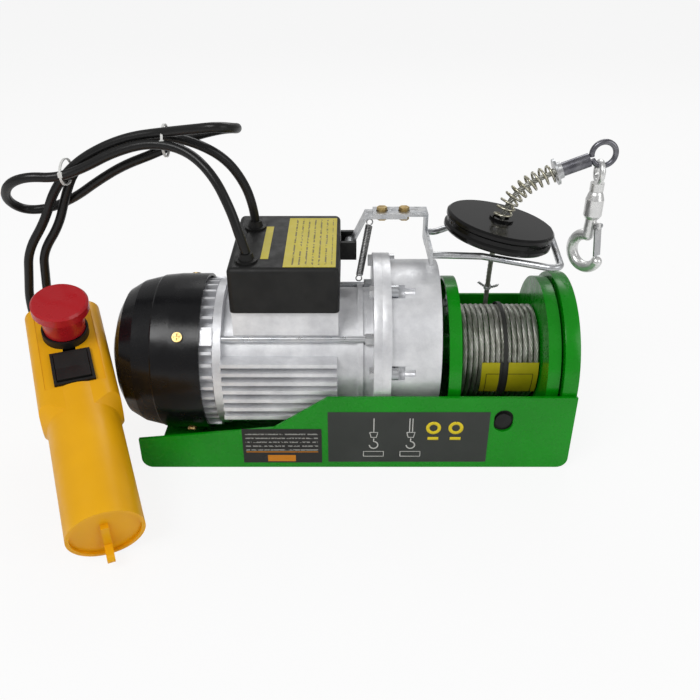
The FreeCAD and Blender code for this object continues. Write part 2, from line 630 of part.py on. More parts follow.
def motor(pinion):
    motor_housing()
    end_bell()
    node(ring("stator_radius", "rotor_radius+air_gap", "stator_length", "stator_x"), "stator_core")
    outer, inner = "stator_radius-3", "rotor_radius+air_gap+3"
    node(fuse(ring(outer, inner, "winding_depth", "stator_x-winding_depth"),
              ring(outer, inner, "winding_depth", "stator_x+stator_length")), "stator_windings")
    node(ring("rotor_radius", "motor_shaft_radius", "stator_length", "stator_x"), "rotor_core")
    centre = Vector(0, 0, size.axis_height)
    shaft = Part.makeCylinder(size.motor_shaft_radius, size.gear_one_x - 2 + 32 - size.bell_x,
                              centre + Vector(size.bell_x - 32, 0, 0), Vector(1, 0, 0))
    pinion.translate(centre + Vector(size.gear_one_x - 2, 0, 0))
    node(solid(shaft.fuse(pinion)), "motor_shaft")
    bore = "motor_shaft_radius+fit"
    seats = fuse(ring("bearing_radius", bore, "bearing_width", "bell_x+3"),
                 ring("bearing_radius", bore, "bearing_width", "flange_x-bearing_width-1"))
    node(place(seats), "motor_bearings")
    node(ring(34, "motor_shaft_radius", 5, "bell_x-7"), "brake_disc")
    fan_start = size.bell_x - 31
    blades = [Part.makeCylinder(15, 14, centre + Vector(fan_start, 0, 0), Vector(1, 0, 0))]
    blades.append(Part.makeCylinder(size.fan_radius, 1.5, centre + Vector(fan_start + 12.5, 0, 0), Vector(1, 0, 0)))
    for k in range(8):
        blade = Part.makeBox(13.5, 1.6, size.fan_radius - 12)
        blade.translate(Vector(fan_start, -0.8, 11))
        blade.rotate(Vector(), Vector(1, 0, 0), 45 * k)
        blade.translate(centre)
        blades.append(blade)
    fan = blades[0].fuse(blades[1:])
    fan = fan.cut(Part.makeCylinder(size.motor_shaft_radius, 20, centre + Vector(fan_start - 1, 0, 0), Vector(1, 0, 0)))
    node(solid(fan.removeSplitter()), "fan")
    shapes = []
    for k in range(4):
        y, z = polar(size.tie_circle, size.bolt_turn + 90 * k, size.axis_height)
        stud = rod_shape(size.tie_radius, Vector(size.bell_x - 2, y, z), Vector(size.flange_x + 4, y, z))
        shapes.append(stud.fuse([hexagon(8, 6, Vector(size.flange_x - 6, y, z))]))
    node(solid(Part.makeCompound(shapes)), "through_bolts")


def fan_cover():
    """Drawn cover with a domed closed end, a step ring and slots for the air."""
    corners = [(0, 0), (0, 12), (2.2, "cover_radius-37"), (8, "cover_radius-21"), (13.5, "cover_radius-11.5"),
               (24, "cover_radius-5.3"), (38, "cover_radius-1.9"), (39, "cover_radius-1.2"),
               (52, "cover_radius"), ("cover_length", "cover_radius"),
               ("cover_length", "cover_radius-cover_wall"), (52, "cover_radius-cover_wall"),
               (39, "cover_radius-cover_wall-1.9"), (24.6, "cover_radius-cover_wall-5.5"),
               (14.6, "cover_radius-cover_wall-11"), (9.8, "cover_radius-cover_wall-19.6"),
               (4.2, "cover_radius-cover_wall-35"), ("cover_wall", 10), ("cover_wall", 0)]
    shell = place(turned(corners, "X", "cover"), "cover_tip", 0, "axis_height")
    slots = []
    for k in range(7):
        half = 24 - abs(k - 3) * 4
        slots.append(block("10*cover_wall", 2 * half, 3.4, "cover_tip-1", -half, f"axis_height+({k - 3})*8-1.7"))
    y_z = [polar(size.cover_radius - 10, size.bolt_turn + 90 * k, size.axis_height) for k in range(4)]
    holes = []
    for k, (y, z) in enumerate(y_z):
        hole = rod_shape(1.6, Vector(size.bell_x - 8, y, z),
                         Vector(size.bell_x - 8, *polar(size.cover_radius + 3, size.bolt_turn + 90 * k,
                                                        size.axis_height)))
        holes.append(solid(hole))
    node(cut(shell, *slots, *holes), "fan_cover")
    shapes = []
    for k in range(4):
        x = size.bell_x - 8
        ends = [Vector(x, *polar(radius, size.bolt_turn + 90 * k, size.axis_height))
                for radius in (52, size.cover_radius, size.cover_radius + 1.8)]
        screw = rod_shape(1.6, ends[0], ends[1]).fuse(rod_shape(3.6, ends[1] + (ends[2] - ends[1]) * 0.02, ends[2]))
        cross = Part.makeBox(5, 0.9, 1.2, Vector(-2.5, -0.45, -0.9)).fuse(
            Part.makeBox(0.9, 5, 1.2, Vector(-0.45, -2.5, -0.9)))
        cross.Placement = Placement(ends[2], Rotation(Vector(0, 0, 1), ends[2] - ends[1]))
        shapes.append(screw.cut(cross))
    node(solid(Part.makeCompound(shapes)), "cover_screws")


# ---- Electrical box ----------------------------------------------------------------------

def box_top(y):
    """Height of the box's sloped top at a place across it."""
    share = (y + size.box_width / 2) / size.box_width
    return size.box_front_top + (size.box_rear_top - size.box_front_top) * share


def box_slope():
    rise = size.box_rear_top - size.box_front_top
    return Rotation(Vector(1, 0, 0), math.degrees(math.atan2(rise, size.box_width)))


def electrical_box():
    outline = [("-box_width/2", "box_bottom"), ("box_width/2", "box_bottom"),
               ("box_width/2", "box_rear_top"), ("-box_width/2", "box_front_top")]
    outer = rounded(padded(outline, "box_length", "YZ_Plane", "box"), 4,
                    lambda edge: edge.BoundBox.ZMax > size.box_bottom + 1)
    inside = [("-box_width/2+box_wall", "box_bottom-1"), ("box_width/2-box_wall", "box_bottom-1"),
              ("box_width/2-box_wall", "box_rear_top-box_wall"),
              ("-box_width/2+box_wall", "box_front_top-box_wall")]
    hollow = padded(inside, "box_length-2*box_wall", "YZ_Plane", "box_inside")
    tools = [place(hollow, "box_x+box_wall")]
    glands = []
    for x, y in ((size.box_x + 13, -32), (size.box_x + 14, 21)):
        seat = Placement(Vector(x, y, box_top(y)), box_slope())
        hole = Part.makeCylinder(5, 12, Vector(0, 0, -8))
        hole.Placement = seat
        tools.append(solid(hole))
        gland = Part.makeCylinder(4.9, 6, Vector(0, 0, -6)).fuse([
            Part.makeCylinder(8, 1.6), Part.makeCone(5.6, 4.6, 4.4, Vector(0, 0, 1.6)),
            Part.makeCylinder(6.6, 2, Vector(0, 0, -size.box_wall - 2.2))])
        gland = gland.cut(Part.makeCylinder(size.cord_diameter / 2 - 0.4, 20, Vector(0, 0, -12)))
        gland.Placement = seat
        glands.append(gland)
    pivot_hole = rod(4.6, 20, "box_x+box_length-10", "pivot_y", "pivot_z")
    node(cut(place(outer, "box_x"), *tools, pivot_hole), "box_cover")
    floor = "box_bottom+3"
    plate = block("box_length-2*box_wall-2*gap", "box_width-2*box_wall-2*gap", 3, "box_x+box_wall+gap",
                  "-box_width/2+box_wall+gap", "box_bottom")
    node(fuse(plate, block(24, 34, 15, "box_x+box_length/2-6", "-35", floor)), "box_base")
    node(rod(12, 62, "box_x+box_wall+16", "-31", f"{floor}+12", "Y"), "capacitor")
    node(block(20, 14, 17, "box_x+box_length-box_wall-24", "pivot_y-9", floor), "limit_switch")
    return glands


# ---- Limit lever -------------------------------------------------------------------------

def strip(points, width, y, thick):
    """A flat strip bent in the XZ plane, with its outer side along the points."""
    lower = []
    for index, (x, z) in enumerate(points):
        before = points[max(index - 1, 0)]
        after = points[min(index + 1, len(points) - 1)]
        first = Vector(x - before[0], 0, z - before[1])
        last = Vector(after[0] - x, 0, after[1] - z)
        first = (first if first.Length else last).normalize()
        last = (last if last.Length else first).normalize()
        inward = (first + last).normalize().cross(Vector(0, 1, 0)) * -1
        inward = Vector(inward.x, 0, inward.z) * (thick / math.sqrt((1 + first.dot(last)) / 2))
        lower.append(Vector(x, 0, z) + inward)
    top = [Vector(x, 0, z) for x, z in points]
    outline = top + lower[::-1] + top[:1]
    bent = Part.Face(Part.makePolygon(outline)).extrude(Vector(0, width, 0))
    bent.translate(Vector(0, y, 0))
    return bent


def lever():
    thick, top = size.strap_thick, size.strap_top
    low_y = size.pivot_y - size.strap_width / 2
    arm = strip([(size.pivot_x + 3.2, size.pivot_z - 2), (size.strap_bend_x - 1, top), (40, top)],
                size.strap_width, low_y, thick)
    boss = Part.makeCylinder(4.2, size.strap_width, Vector(size.pivot_x + 4.6, low_y, size.pivot_z - 1),
                             Vector(0, 1, 0))
    slots = []
    for x in (21, 38):
        slots.append(Part.makeBox(9, 4.4, 20, Vector(x - 4.5, size.pivot_y - 2.2, top - 10)))
    ring_pin = Part.makeCylinder(2.05, 60, Vector(size.pivot_x + 4.6, low_y - 20, size.pivot_z - 1), Vector(0, 1, 0))
    node(solid(arm.fuse(boss).cut(slots[0].fuse(slots[1:]).fuse(ring_pin)).removeSplitter()), "lever_arm")
    leg = strip([(14, top + thick), (size.bracket_x, top + thick), (size.bracket_x, size.loop_z - 7)],
                size.strap_width, low_y, thick)
    cross = Part.makeBox(thick, size.pivot_y + 9 + 16, 12,
                         Vector(size.bracket_x - thick, -16, size.loop_z - 6))
    holes = [Part.makeCylinder(size.loop_rod / 2 + size.fit, 10, Vector(size.bracket_x - 6, y, size.loop_z), Vector(1, 0, 0))
             for y in (38, -10)]
    node(solid(leg.fuse(cross).cut(slots[0].fuse(slots[1:] + holes)).removeSplitter()), "lever_bracket")
    bolts = []
    for x in (21, 38):
        foot = Vector(x, size.pivot_y, top - thick - 3)
        bolt = rod_shape(2, foot, foot + Vector(0, 0, 3 + 2 * thick))
        bolts.append(bolt.fuse([hexagon(7, 3, foot, "Z"), hexagon(7, 3, foot + Vector(0, 0, 3 + 2 * thick), "Z")]))
    node(solid(Part.makeCompound(bolts)), "lever_bolts")
    points = [Vector(size.bracket_x - thick, 38, size.loop_z), Vector(63, 38, size.loop_z),
              Vector(78, 51, size.loop_z), Vector(154, 50, size.loop_z),
              Vector(144, -37, size.loop_z), Vector(92, -12, size.loop_z),
              Vector(64, -10, size.loop_z), Vector(size.bracket_x - thick, -10, size.loop_z)]
    node(solid(tube(points, size.loop_rod, "rope_loop", 7)), "rope_loop")
    lug = Part.makeBox(12.4, size.strap_width + 10, 2.4,
                       Vector(size.box_x + size.box_length, size.pivot_y - size.strap_width / 2 - 5, size.pivot_z - 8))
    ears = lug
    for y in (low_y - 5, low_y + size.strap_width + 1):
        ear = Part.makeBox(12.4, 4, 14, Vector(size.box_x + size.box_length, y, size.pivot_z - 8))
        ears = ears.fuse(ear)
    axle = Vector(size.pivot_x + 4.6, low_y - 5, size.pivot_z - 1)
    neck = Part.makeCylinder(4.5, size.box_wall + 4, Vector(size.box_x + size.box_length - size.box_wall - 2,
                                                            size.pivot_y, size.pivot_z), Vector(1, 0, 0))
    neck = neck.common(Part.makeBox(size.box_wall + 2, 20, 20, Vector(
        size.box_x + size.box_length - size.box_wall - 2, size.pivot_y - 10, size.pivot_z - 10)))
    ears = ears.fuse(neck)
    ears = ears.cut(Part.makeCylinder(2, 60, axle, Vector(0, 1, 0)))
    pin = Part.makeCylinder(2, size.strap_width + 10, axle, Vector(0, 1, 0))
    node(solid(Part.makeCompound([ears.removeSplitter(), pin])), "lever_pivot")
    bolt_y, bolt_z = polar(size.tie_circle, size.bolt_turn, size.axis_height)
    low_end = Vector(3, bolt_y, bolt_z + size.tie_radius + 2 * size.gap)
    high_end = Vector(12, bolt_y - 1, top - thick - 4 * size.gap)
    node(solid(rod_shape(2.8, low_end, high_end)), "return_spring")


# ---- Rope end, weight and hook -----------------------------------------------------------

ROPE_ROUTE = [(108, 40.8, 72), (108, 38, 92), (106.5, 28, 118), (105, 17, 140), (107.2, 12.5, 158),
              (109.8, 12, 176), (117, 12, 190), (131, 12, 200), (148, 12, 206.5)]


def tube(points, diameter, name, least=None):
    """A round bar or cord along straight runs joined by tangent arcs."""
    points = [Vector(*point) for point in points]
    edges, radii, start = [], [], points[0]
    for before, corner, after in zip(points, points[1:], points[2:]):
        inward, outward = (before - corner), (after - corner)
        half = (math.pi - inward.getAngle(outward)) / 2
        shorter = min(inward.Length, outward.Length)
        radius = 0.45 * shorter / math.tan(half)
        if least:
            radius = min(radius, least)
        reach = radius * math.tan(half)
        first = corner + inward.normalize() * reach
        last = corner + outward.normalize() * reach
        middle = corner + (inward + outward).normalize() * (radius / math.cos(half) - radius)
        edges.append(Part.LineSegment(start, first).toShape())
        edges.append(Part.Arc(first, middle, last).toShape())
        start = last
        radii.append(radius)
    edges.append(Part.LineSegment(start, points[-1]).toShape())
    path = Part.Wire(edges)
    disc = Part.Wire(Part.makeCircle(diameter / 2, points[0], points[1] - points[0]))
    made = path.makePipeShell([disc], True, False)
    share = made.Volume / (path.Length * math.pi * diameter ** 2 / 4)
    print(f"{name}: {path.Length:.0f} mm, smallest radius {min(radii):.1f}, volume share {share:.4f}")
    return made


def rope_end():
    route = [Vector(*point) for point in ROPE_ROUTE]
    rope = tube(route, size.rope_diameter, "rope_free_end")
    along = (route[1] - route[0]).normalize()
    tie = route[0] + along * 3
    wrap = Part.makeCylinder(size.rope_diameter / 2 + 1.2, 6, tie, along)
    wrap = wrap.cut(Part.makeCylinder(size.rope_diameter / 2 + 0.1, 8, tie - along, along))
    node(solid(wrap), "wire_tie")
    heading = (route[-1] - route[-2]).normalize()
    end = route[-1]
    ferrule = rod_shape(size.ferrule_radius, end, end + heading * size.ferrule_length)
    cup = Part.makeCylinder(9.5, 1.6, end - heading * 5, heading)
    cup = cup.fuse(Part.makeCylinder(6, 5, end - heading * 5, heading))
    cup = cup.cut(Part.makeCylinder(size.rope_diameter / 2, 12, end - heading * 8, heading))
    node(solid(cup), "cup_washer")
    node(solid(ferrule), "ferrule")
    eye_start = end + heading * size.ferrule_length
    centre = eye_start + heading * (size.eye_radius - 0.4)
    eye = Part.makeTorus(size.eye_radius, size.rope_diameter / 2, centre, Vector(0, 1, 0))
    trim = rod_shape(size.ferrule_radius + 5, eye_start - heading * 10, eye_start)
    node(solid(Part.makeCompound([rope, eye.cut(trim)])), "rope_free_end")
    return centre


def weight():
    lean = Rotation(Vector(0, 1, 0), size.weight_tilt)
    centre = Vector(107.1, 12, 163)
    half = size.weight_thick / 2
    ax = lean.multVec(Vector(0, 0, 1))
    profile = [("weight_hole", "-weight_thick/2"), ("weight_radius-1.5", "-weight_thick/2"),
               ("weight_radius", "-weight_thick/2+1.5"), ("weight_radius", "-3"), ("weight_radius-1.6", "-1.4"),
               ("weight_radius-1.6", "1.4"), ("weight_radius", 3), ("weight_radius", "weight_thick/2-1.5"),
               ("weight_radius-1.5", "weight_thick/2"), ("weight_hole", "weight_thick/2")]
    disc = turned(profile, "Z", "weight")
    disc.Placement = Placement(centre, lean)
    washer = Part.makeCylinder(9, 1.5, centre + ax * half, ax)
    washer = washer.cut(Part.makeCylinder(size.weight_hole, 1.5, centre + ax * half, ax))
    group = doc.addObject("Part::Compound", "weight_and_washer")
    group.Links = [disc, solid(washer)]
    node(group, "weight_disc")
    top = centre + ax * (half + 1.5 + size.gap)
    route = [Vector(*point) for point in ROPE_ROUTE]
    heading = (route[-1] - route[-2]).normalize()
    stop = route[-1] - heading * (5 + size.gap)
    spring_route = [top, top + ax * 8, route[6] + Vector(2, 0, 1), route[7], stop]
    node(solid(spring_tube(spring_route)), "buffer_spring")
    print("weight slides along", [round(part, 4) for part in ax])


def spring_tube(route):
    """The buffer spring's outer shape, open along the middle for the rope."""
    outer = tube(route, 2 * size.spring_radius, "buffer_spring")
    inner = tube(route, 2 * size.spring_radius - 2.8, "buffer_spring inside")
    return outer.cut(inner)


def hook(eye_centre):
    """Ring on the rope eye, swivel and hook with its sprung latch, hanging straight down."""
    bar_top = eye_centre.z - size.eye_radius + size.rope_diameter / 2
    ring_centre = Vector(eye_centre.x, eye_centre.y,
                         bar_top + size.gap - (size.ring_radius - size.ring_bar))
    torus = Part.makeTorus(size.ring_radius, size.ring_bar, ring_centre, Vector(1, 0, 0))
    low = ring_centre.z - size.ring_radius - size.ring_bar
    x, y = ring_centre.x, ring_centre.y
    neck = Part.makeCylinder(5, 6, Vector(x, y, low - 4.5))
    post = Part.makeCylinder(2.6, 14, Vector(x, y, low - 17))
    knob = Part.makeCylinder(4.2, 3, Vector(x, y, low - 17.5))
    node(solid(torus.fuse([neck, post, knob]).removeSplitter()), "hook_ring")
    top = low - 4.5 - size.gap
    barrel = [(0, 0), (4.4, 0), (5.4, 2), (6.6, 6), (6.6, 18), (5, 20.5), (3.6, 21), (0, 21)]
    corners = [Vector(x + radius, y, top - drop) for radius, drop in barrel]
    collar = Part.Face(Part.makePolygon(corners + corners[:1])).revolve(Vector(x, y, 0), Vector(0, 0, 1), 360)
    collar = collar.cut(Part.makeCylinder(2.6 + size.fit, 18, Vector(x, y, top - 17)))
    room = Part.makeCylinder(4.2 + size.gap, 7.5, Vector(x, y, top - 15.7))
    collar = collar.cut(room)
    shank_foot = top - 20
    bowl = Vector(x, y + 1, shank_foot - 14 - size.hook_bowl)
    turn = 245
    bend = Part.makeTorus(size.hook_bowl, size.hook_bar, Vector(), Vector(0, 0, 1), -180, 180, turn)
    bend.Placement = Placement(bowl, Rotation(Vector(0, 0, 1), 90).multiply(Rotation(Vector(1, 0, 0), 90)))
    bend.rotate(bowl, Vector(1, 0, 0), -155)
    ends = (bowl + Vector(0, *point_at(size.hook_bowl, 205)), bowl + Vector(0, *point_at(size.hook_bowl, 90)))
    tip = Part.makeSphere(size.hook_bar, ends[0])
    join = Part.makeSphere(size.hook_bar, ends[1])
    stem = rod_shape(size.hook_bar, ends[1], Vector(x, y, shank_foot + 2))
    pivot = Vector(x, y - size.hook_bar - 2.4, shank_foot - 5)
    lug = Part.makeBox(2.8, 6, 4, Vector(x - 1.4, pivot.y - 1.6, pivot.z - 2))
    rivet = Part.makeCylinder(0.95, 7.6, pivot - Vector(3.8, 0, 0), Vector(1, 0, 0))
    made = collar.fuse([bend, tip, join, stem, lug, rivet]).cut(room).removeSplitter()
    keeper = latch(pivot, ends[0])
    facing = Rotation(Vector(0, 0, 1), size.hook_facing)
    for shape in (made, keeper):
        shape.rotate(Vector(x, y, 0), Vector(0, 0, 1), size.hook_facing)
    node(solid(made), "hook")
    node(solid(keeper), "hook_latch")
    axis = Vector(x, y, 0)
    pivot, bowl = (axis + facing.multVec(point - axis) for point in (pivot, bowl))
    print("hook: swing at", [round(part, 2) for part in (x, y, bar_top - 2)], "latch at",
          [round(part, 2) for part in pivot], "axis", [round(part, 4) for part in facing.multVec(Vector(1, 0, 0))],
          "bowl", [round(part, 2) for part in bowl])


def point_at(radius, degrees):
    turn = math.radians(degrees)
    return radius * math.cos(turn), radius * math.sin(turn)


# ---- Pendant control ---------------------------------------------------------------------

PENDANT_FOOT = Vector(-157.5, -164, 24.6)
PENDANT_AXIS = Vector(-0.369, 0.879, 0.301).normalize()
PENDANT_FACE = Vector(0.116, -0.278, 0.954)
GLAND_Y = -5.5


def pendant_seat():
    face = (PENDANT_FACE - PENDANT_AXIS * PENDANT_FACE.dot(PENDANT_AXIS)).normalize()
    return Placement(PENDANT_FOOT, Rotation(face.cross(PENDANT_AXIS), face, PENDANT_AXIS, "ZYX"))


def pendant_node(shape, label):
    """Stands a piece, built upright with its face towards +Y, in the pendant's place."""
    thing = solid(shape)
    thing.Placement = pendant_seat()
    return node(thing, label)


def head_form(inset):
    """Head with a round-to-flat lower end, smaller all round by the inset."""
    width, depth = size.head_width - 2 * inset, size.head_depth - 2 * inset
    start, end = size.pendant_length - size.head_length - 14, size.pendant_length - inset
    form = Part.makeBox(width, depth, end - start, Vector(-width / 2, -depth / 2, start))
    long_edges = [edge for edge in form.Edges if abs(edge.Vertexes[0].Z - edge.Vertexes[-1].Z) > 1]
    form = form.makeFillet(11 - inset, long_edges)
    flare = Part.makeCone(size.grip_radius - 1 - inset, size.grip_radius + 30 - inset, 42, Vector(0, 0, start))
    tall = Part.makeCylinder(size.grip_radius + 30, 120, Vector(0, 0, start + 42))
    return form.common(flare.fuse(tall))


def pendant(box_glands):
    wall, length = size.shell_wall, size.pendant_length
    face = size.head_depth / 2 - 1.2
    grip = Part.makeCylinder(size.grip_radius, length - 40)
    outer = grip.fuse(head_form(0)).removeSplitter()
    inner = Part.makeCylinder(size.grip_radius - wall, length - 42, Vector(0, 0, -1)).fuse(head_form(wall))
    shell = outer.cut(inner)
    shell = shell.cut(Part.makeBox(size.head_width - 14, 10, size.head_length - 16,
                                   Vector(-size.head_width / 2 + 7, face, length - size.head_length + 8)))
    stop_z, rocker_z = length - size.button_from_end, length - size.rocker_from_end
    shell = shell.cut(Part.makeCylinder(11, 60, Vector(0, 0, stop_z), Vector(0, 1, 0)))
    bezel_w, bezel_l = size.rocker_width + 4, size.rocker_length + 4
    shell = shell.cut(Part.makeBox(bezel_w - 2, 60, bezel_l - 2, Vector(-bezel_w / 2 + 1, 0, rocker_z - bezel_l / 2 + 1)))
    glands = []
    for x in (21, 8):
        gland = Part.makeCylinder(3.9, wall + 4, Vector(x, GLAND_Y, length - wall - 2)).fuse([
            Part.makeCylinder(5.8, 2, Vector(x, GLAND_Y, length)),
            Part.makeCone(5, 4.2, 6, Vector(x, GLAND_Y, length + 2))])
        glands.append(gland.cut(Part.makeCylinder(size.cord_diameter / 2 - 0.4, 20, Vector(x, GLAND_Y, length - 8))))
        shell = shell.cut(Part.makeCylinder(4, 20, Vector(x, GLAND_Y, length - 10)))
    seam = Part.makeBox(200, 100, 400, Vector(-100, 0, -50))
    pendant_node(shell.common(seam), "pendant_front")
    seam.translate(Vector(0, -100, 0))
    pendant_node(shell.common(seam), "pendant_back")
    plug = Part.makeCylinder(size.grip_radius - wall - 0.1, 3, Vector(0, 0, 2))
    tab = Part.makeBox(5, 26, 3.5, Vector(-2.5, -17, -1.5)).fuse([
        Part.makeBox(5, 7, 11, Vector(-2.5, -17, -9)),
        Part.makeCylinder(3.5, 5, Vector(-2.5, -13.5, -9), Vector(1, 0, 0))])
    pendant_node(plug.fuse(tab).removeSplitter(), "pendant_end_cap")
    collar = Part.makeCylinder(16.6, 6, Vector(0, face, stop_z), Vector(0, 1, 0)).fuse(
        Part.makeCylinder(10.9, 8, Vector(0, face - 8, stop_z), Vector(0, 1, 0)))
    collar = collar.cut(Part.makeCylinder(15.3, 6, Vector(0, face + 1.2, stop_z), Vector(0, 1, 0)))
    collar = collar.cut(Part.makeCylinder(5 + size.fit, 40, Vector(0, 0, stop_z), Vector(0, 1, 0)))
    pendant_node(collar, "estop_collar")
    pendant_node(Part.makeCylinder(5, 24, Vector(0, face - 14, stop_z), Vector(0, 1, 0)), "estop_plunger")
    base = face + 6
    outline = [(5.2, base), (14.6, base), (15.6, base + 15), (size.button_radius, base + 19),
               (size.button_radius, base + 25), (size.button_radius - 1.5, base + 26.6), (0, base + 27.4),
               (0, face + 10.2), (5.2, face + 10.2)]
    corners = [Vector(radius, y, stop_z) for radius, y in outline]
    cap = Part.Face(Part.makePolygon(corners + corners[:1])).revolve(Vector(0, 0, stop_z), Vector(0, 1, 0), 360)
    pendant_node(cap, "estop_cap")
    bezel = Part.makeBox(bezel_w, 2.2, bezel_l, Vector(-bezel_w / 2, face, rocker_z - bezel_l / 2))
    bezel = bezel.fuse(Part.makeBox(bezel_w - 2.4, 8, bezel_l - 2.4,
                                    Vector(-bezel_w / 2 + 1.2, face - 8, rocker_z - bezel_l / 2 + 1.2)))
    room = Part.makeBox(size.rocker_width, 20, size.rocker_length,
                        Vector(-size.rocker_width / 2, face - 10, rocker_z - size.rocker_length / 2))
    pendant_node(bezel.cut(room), "rocker_bezel")
    half = size.rocker_length / 2 - 1
    side = [(-half, face - 5), (half, face - 5), (half, face + 3.4), (0, face + 1.8), (-half, face + 3.4)]
    corners = [Vector(-size.rocker_width / 2 + 0.5, y, rocker_z + z) for z, y in side]
    rocker = Part.Face(Part.makePolygon(corners + corners[:1])).extrude(Vector(size.rocker_width - 1, 0, 0))
    pendant_node(rocker, "rocker")
    back = -size.head_depth / 2 + wall + size.gap
    blocks = [Part.makeBox(22, face - 18.5 - back, 24, Vector(-11, back, stop_z - 12)),
              Part.makeBox(22, face - 8.4 - back, 22, Vector(-11, back, rocker_z - 12.5))]
    pendant_node(Part.makeCompound(blocks), "contact_blocks")
    seat = pendant_seat()
    for gland in glands:
        gland.Placement = seat
    node(solid(Part.makeCompound(box_glands + glands)), "cord_glands")
    for name, point in (("stop axis point", Vector(0, face, stop_z)), ("rocker pivot", Vector(0, face - 1, rocker_z)),
                        ("gland 1 end", Vector(21, GLAND_Y, length + 8)), ("gland 2 end", Vector(8, GLAND_Y, length + 8))):
        print(name, [round(part, 2) for part in seat.multVec(point)])
    print("face normal", [round(part, 4) for part in seat.Rotation.multVec(Vector(0, 1, 0))],
          "across", [round(part, 4) for part in seat.Rotation.multVec(Vector(1, 0, 0))])


# ---- Cords -------------------------------------------------------------------------------

LONG_CORD = [(-79, -33, 172), (-84, -30, 190), (-96, -21, 213), (-115, -10, 227),
             (-140, -4, 230), (-166, -2, 223), (-190, 0, 211), (-210, 0, 204), (-230, -3, 206),
             (-247, 2, 199), (-257, 15, 184), (-251, 28, 171), (-233, 31, 171), (-210, 27, 181),
             (-188, 21, 196), (-166, 15, 209), (-141, 9, 219), (-118, 18, 228), (-97, 25, 232),
             (-82, 12, 236), (-80, -7, 240), (-90, -20, 244), (-108, -14, 241), (-131, -1, 236),
             (-156, 3, 232), (-180, 5, 223), (-201, 8, 210), (-219, 12, 191), (-231, 15, 167),
             (-249, 16, 143), (-254, 18, 120), (-258, 20, 104), (-259, 21, 91)]
SHORT_CORD = [(-75, 19, 174), (-80, 18, 194), (-92, 12, 215), (-113, 7, 228), (-137, 9, 232),
              (-161, 11, 228), (-184, 13, 219), (-203, 17, 205), (-214, 20, 185), (-223, 20, 162),
              (-239, 19, 141), (-242, 21, 122), (-245, 24, 105), (-246, 26, 92)]


def cords():
    """Both cords from their box glands to the handset, the long one with a loop at each end."""
    seat = pendant_seat()
    heads = [seat.multVec(Vector(x, GLAND_Y, size.pendant_length + 8)) for x in (21, 8)]
    starts = []
    for x, y in ((size.box_x + 13, -32), (size.box_x + 14, 21)):
        starts.append(Placement(Vector(x, y, box_top(y)), box_slope()).multVec(Vector(0, 0, 6)))
    for label, start, route, end in (("cord_long", starts[0], LONG_CORD, heads[0]),
                                     ("cord_short", starts[1], SHORT_CORD, heads[1])):
        out = end + PENDANT_AXIS * 11
        points = [start] + [Vector(*point) for point in route] + [out, end]
        node(solid(tube(points, size.cord_diameter, label)), label)
    ties = []
    for centre, across, tall in ((Vector(-131, 3.4, 229.4), 23, 23), (Vector(-206, 9, 206), 26, 19)):
        outer = Part.makeBox(4, across, tall, centre - Vector(2, across / 2, tall / 2))
        inner = Part.makeBox(6, across - 2, tall - 2, centre - Vector(3, across / 2 - 1, tall / 2 - 1))
        ties.append(outer.cut(inner))
    node(solid(Part.makeCompound(ties)), "cord_ties")


# ---- The whole hoist ---------------------------------------------------------------------

def latch(pivot, tip):
    """Sheet latch from its lug on the hook's stem to the hook's tip."""
    reach = (tip - pivot).Length - size.hook_bar - 0.6
    plate = Part.makeBox(7, 1.2, reach, Vector(-3.5, -0.6, 0))
    plate = plate.fuse(Part.makeCylinder(1.9, 7, Vector(-3.5, 0, 0), Vector(1, 0, 0)))
    plate = plate.cut(Part.makeCylinder(1, 8, Vector(-4, 0, 0), Vector(1, 0, 0)))
    plate = plate.cut(Part.makeBox(3.4, 6, 5, Vector(-1.7, -3, -2.4)))
    plate.Placement = Placement(pivot, Rotation(Vector(0, 0, 1), tip - pivot))
    return plate


def build():
    frame()
    end_plate()
    drum()
    tag_and_strap()
    pinion = gears()
    gearbox()
    gearbox_bolts()
    motor(pinion)
    fan_cover()
    box_glands = electrical_box()
    lever()
    eye_centre = rope_end()
    weight()
    hook(eye_centre)
    pendant(box_glands)
    cords()


def check_and_export():
    doc.recompute()
    os.makedirs("parts", exist_ok=True)
    bad = [thing.Label for thing in doc.Objects if "Invalid" in thing.State or "Error" in thing.State]
    for thing in NODES:
        if thing.Shape.isNull() or not thing.Shape.isValid() or not thing.Shape.Solids:
            bad.append(thing.Label)
    if bad:
        raise RuntimeError(f"not built: {sorted(set(bad))}")
    for thing in NODES:
        thing.Shape.exportStep(f"parts/{thing.Label}.step")
    print(len(NODES), "nodes")


build()
check_and_export()
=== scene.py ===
import math
import random

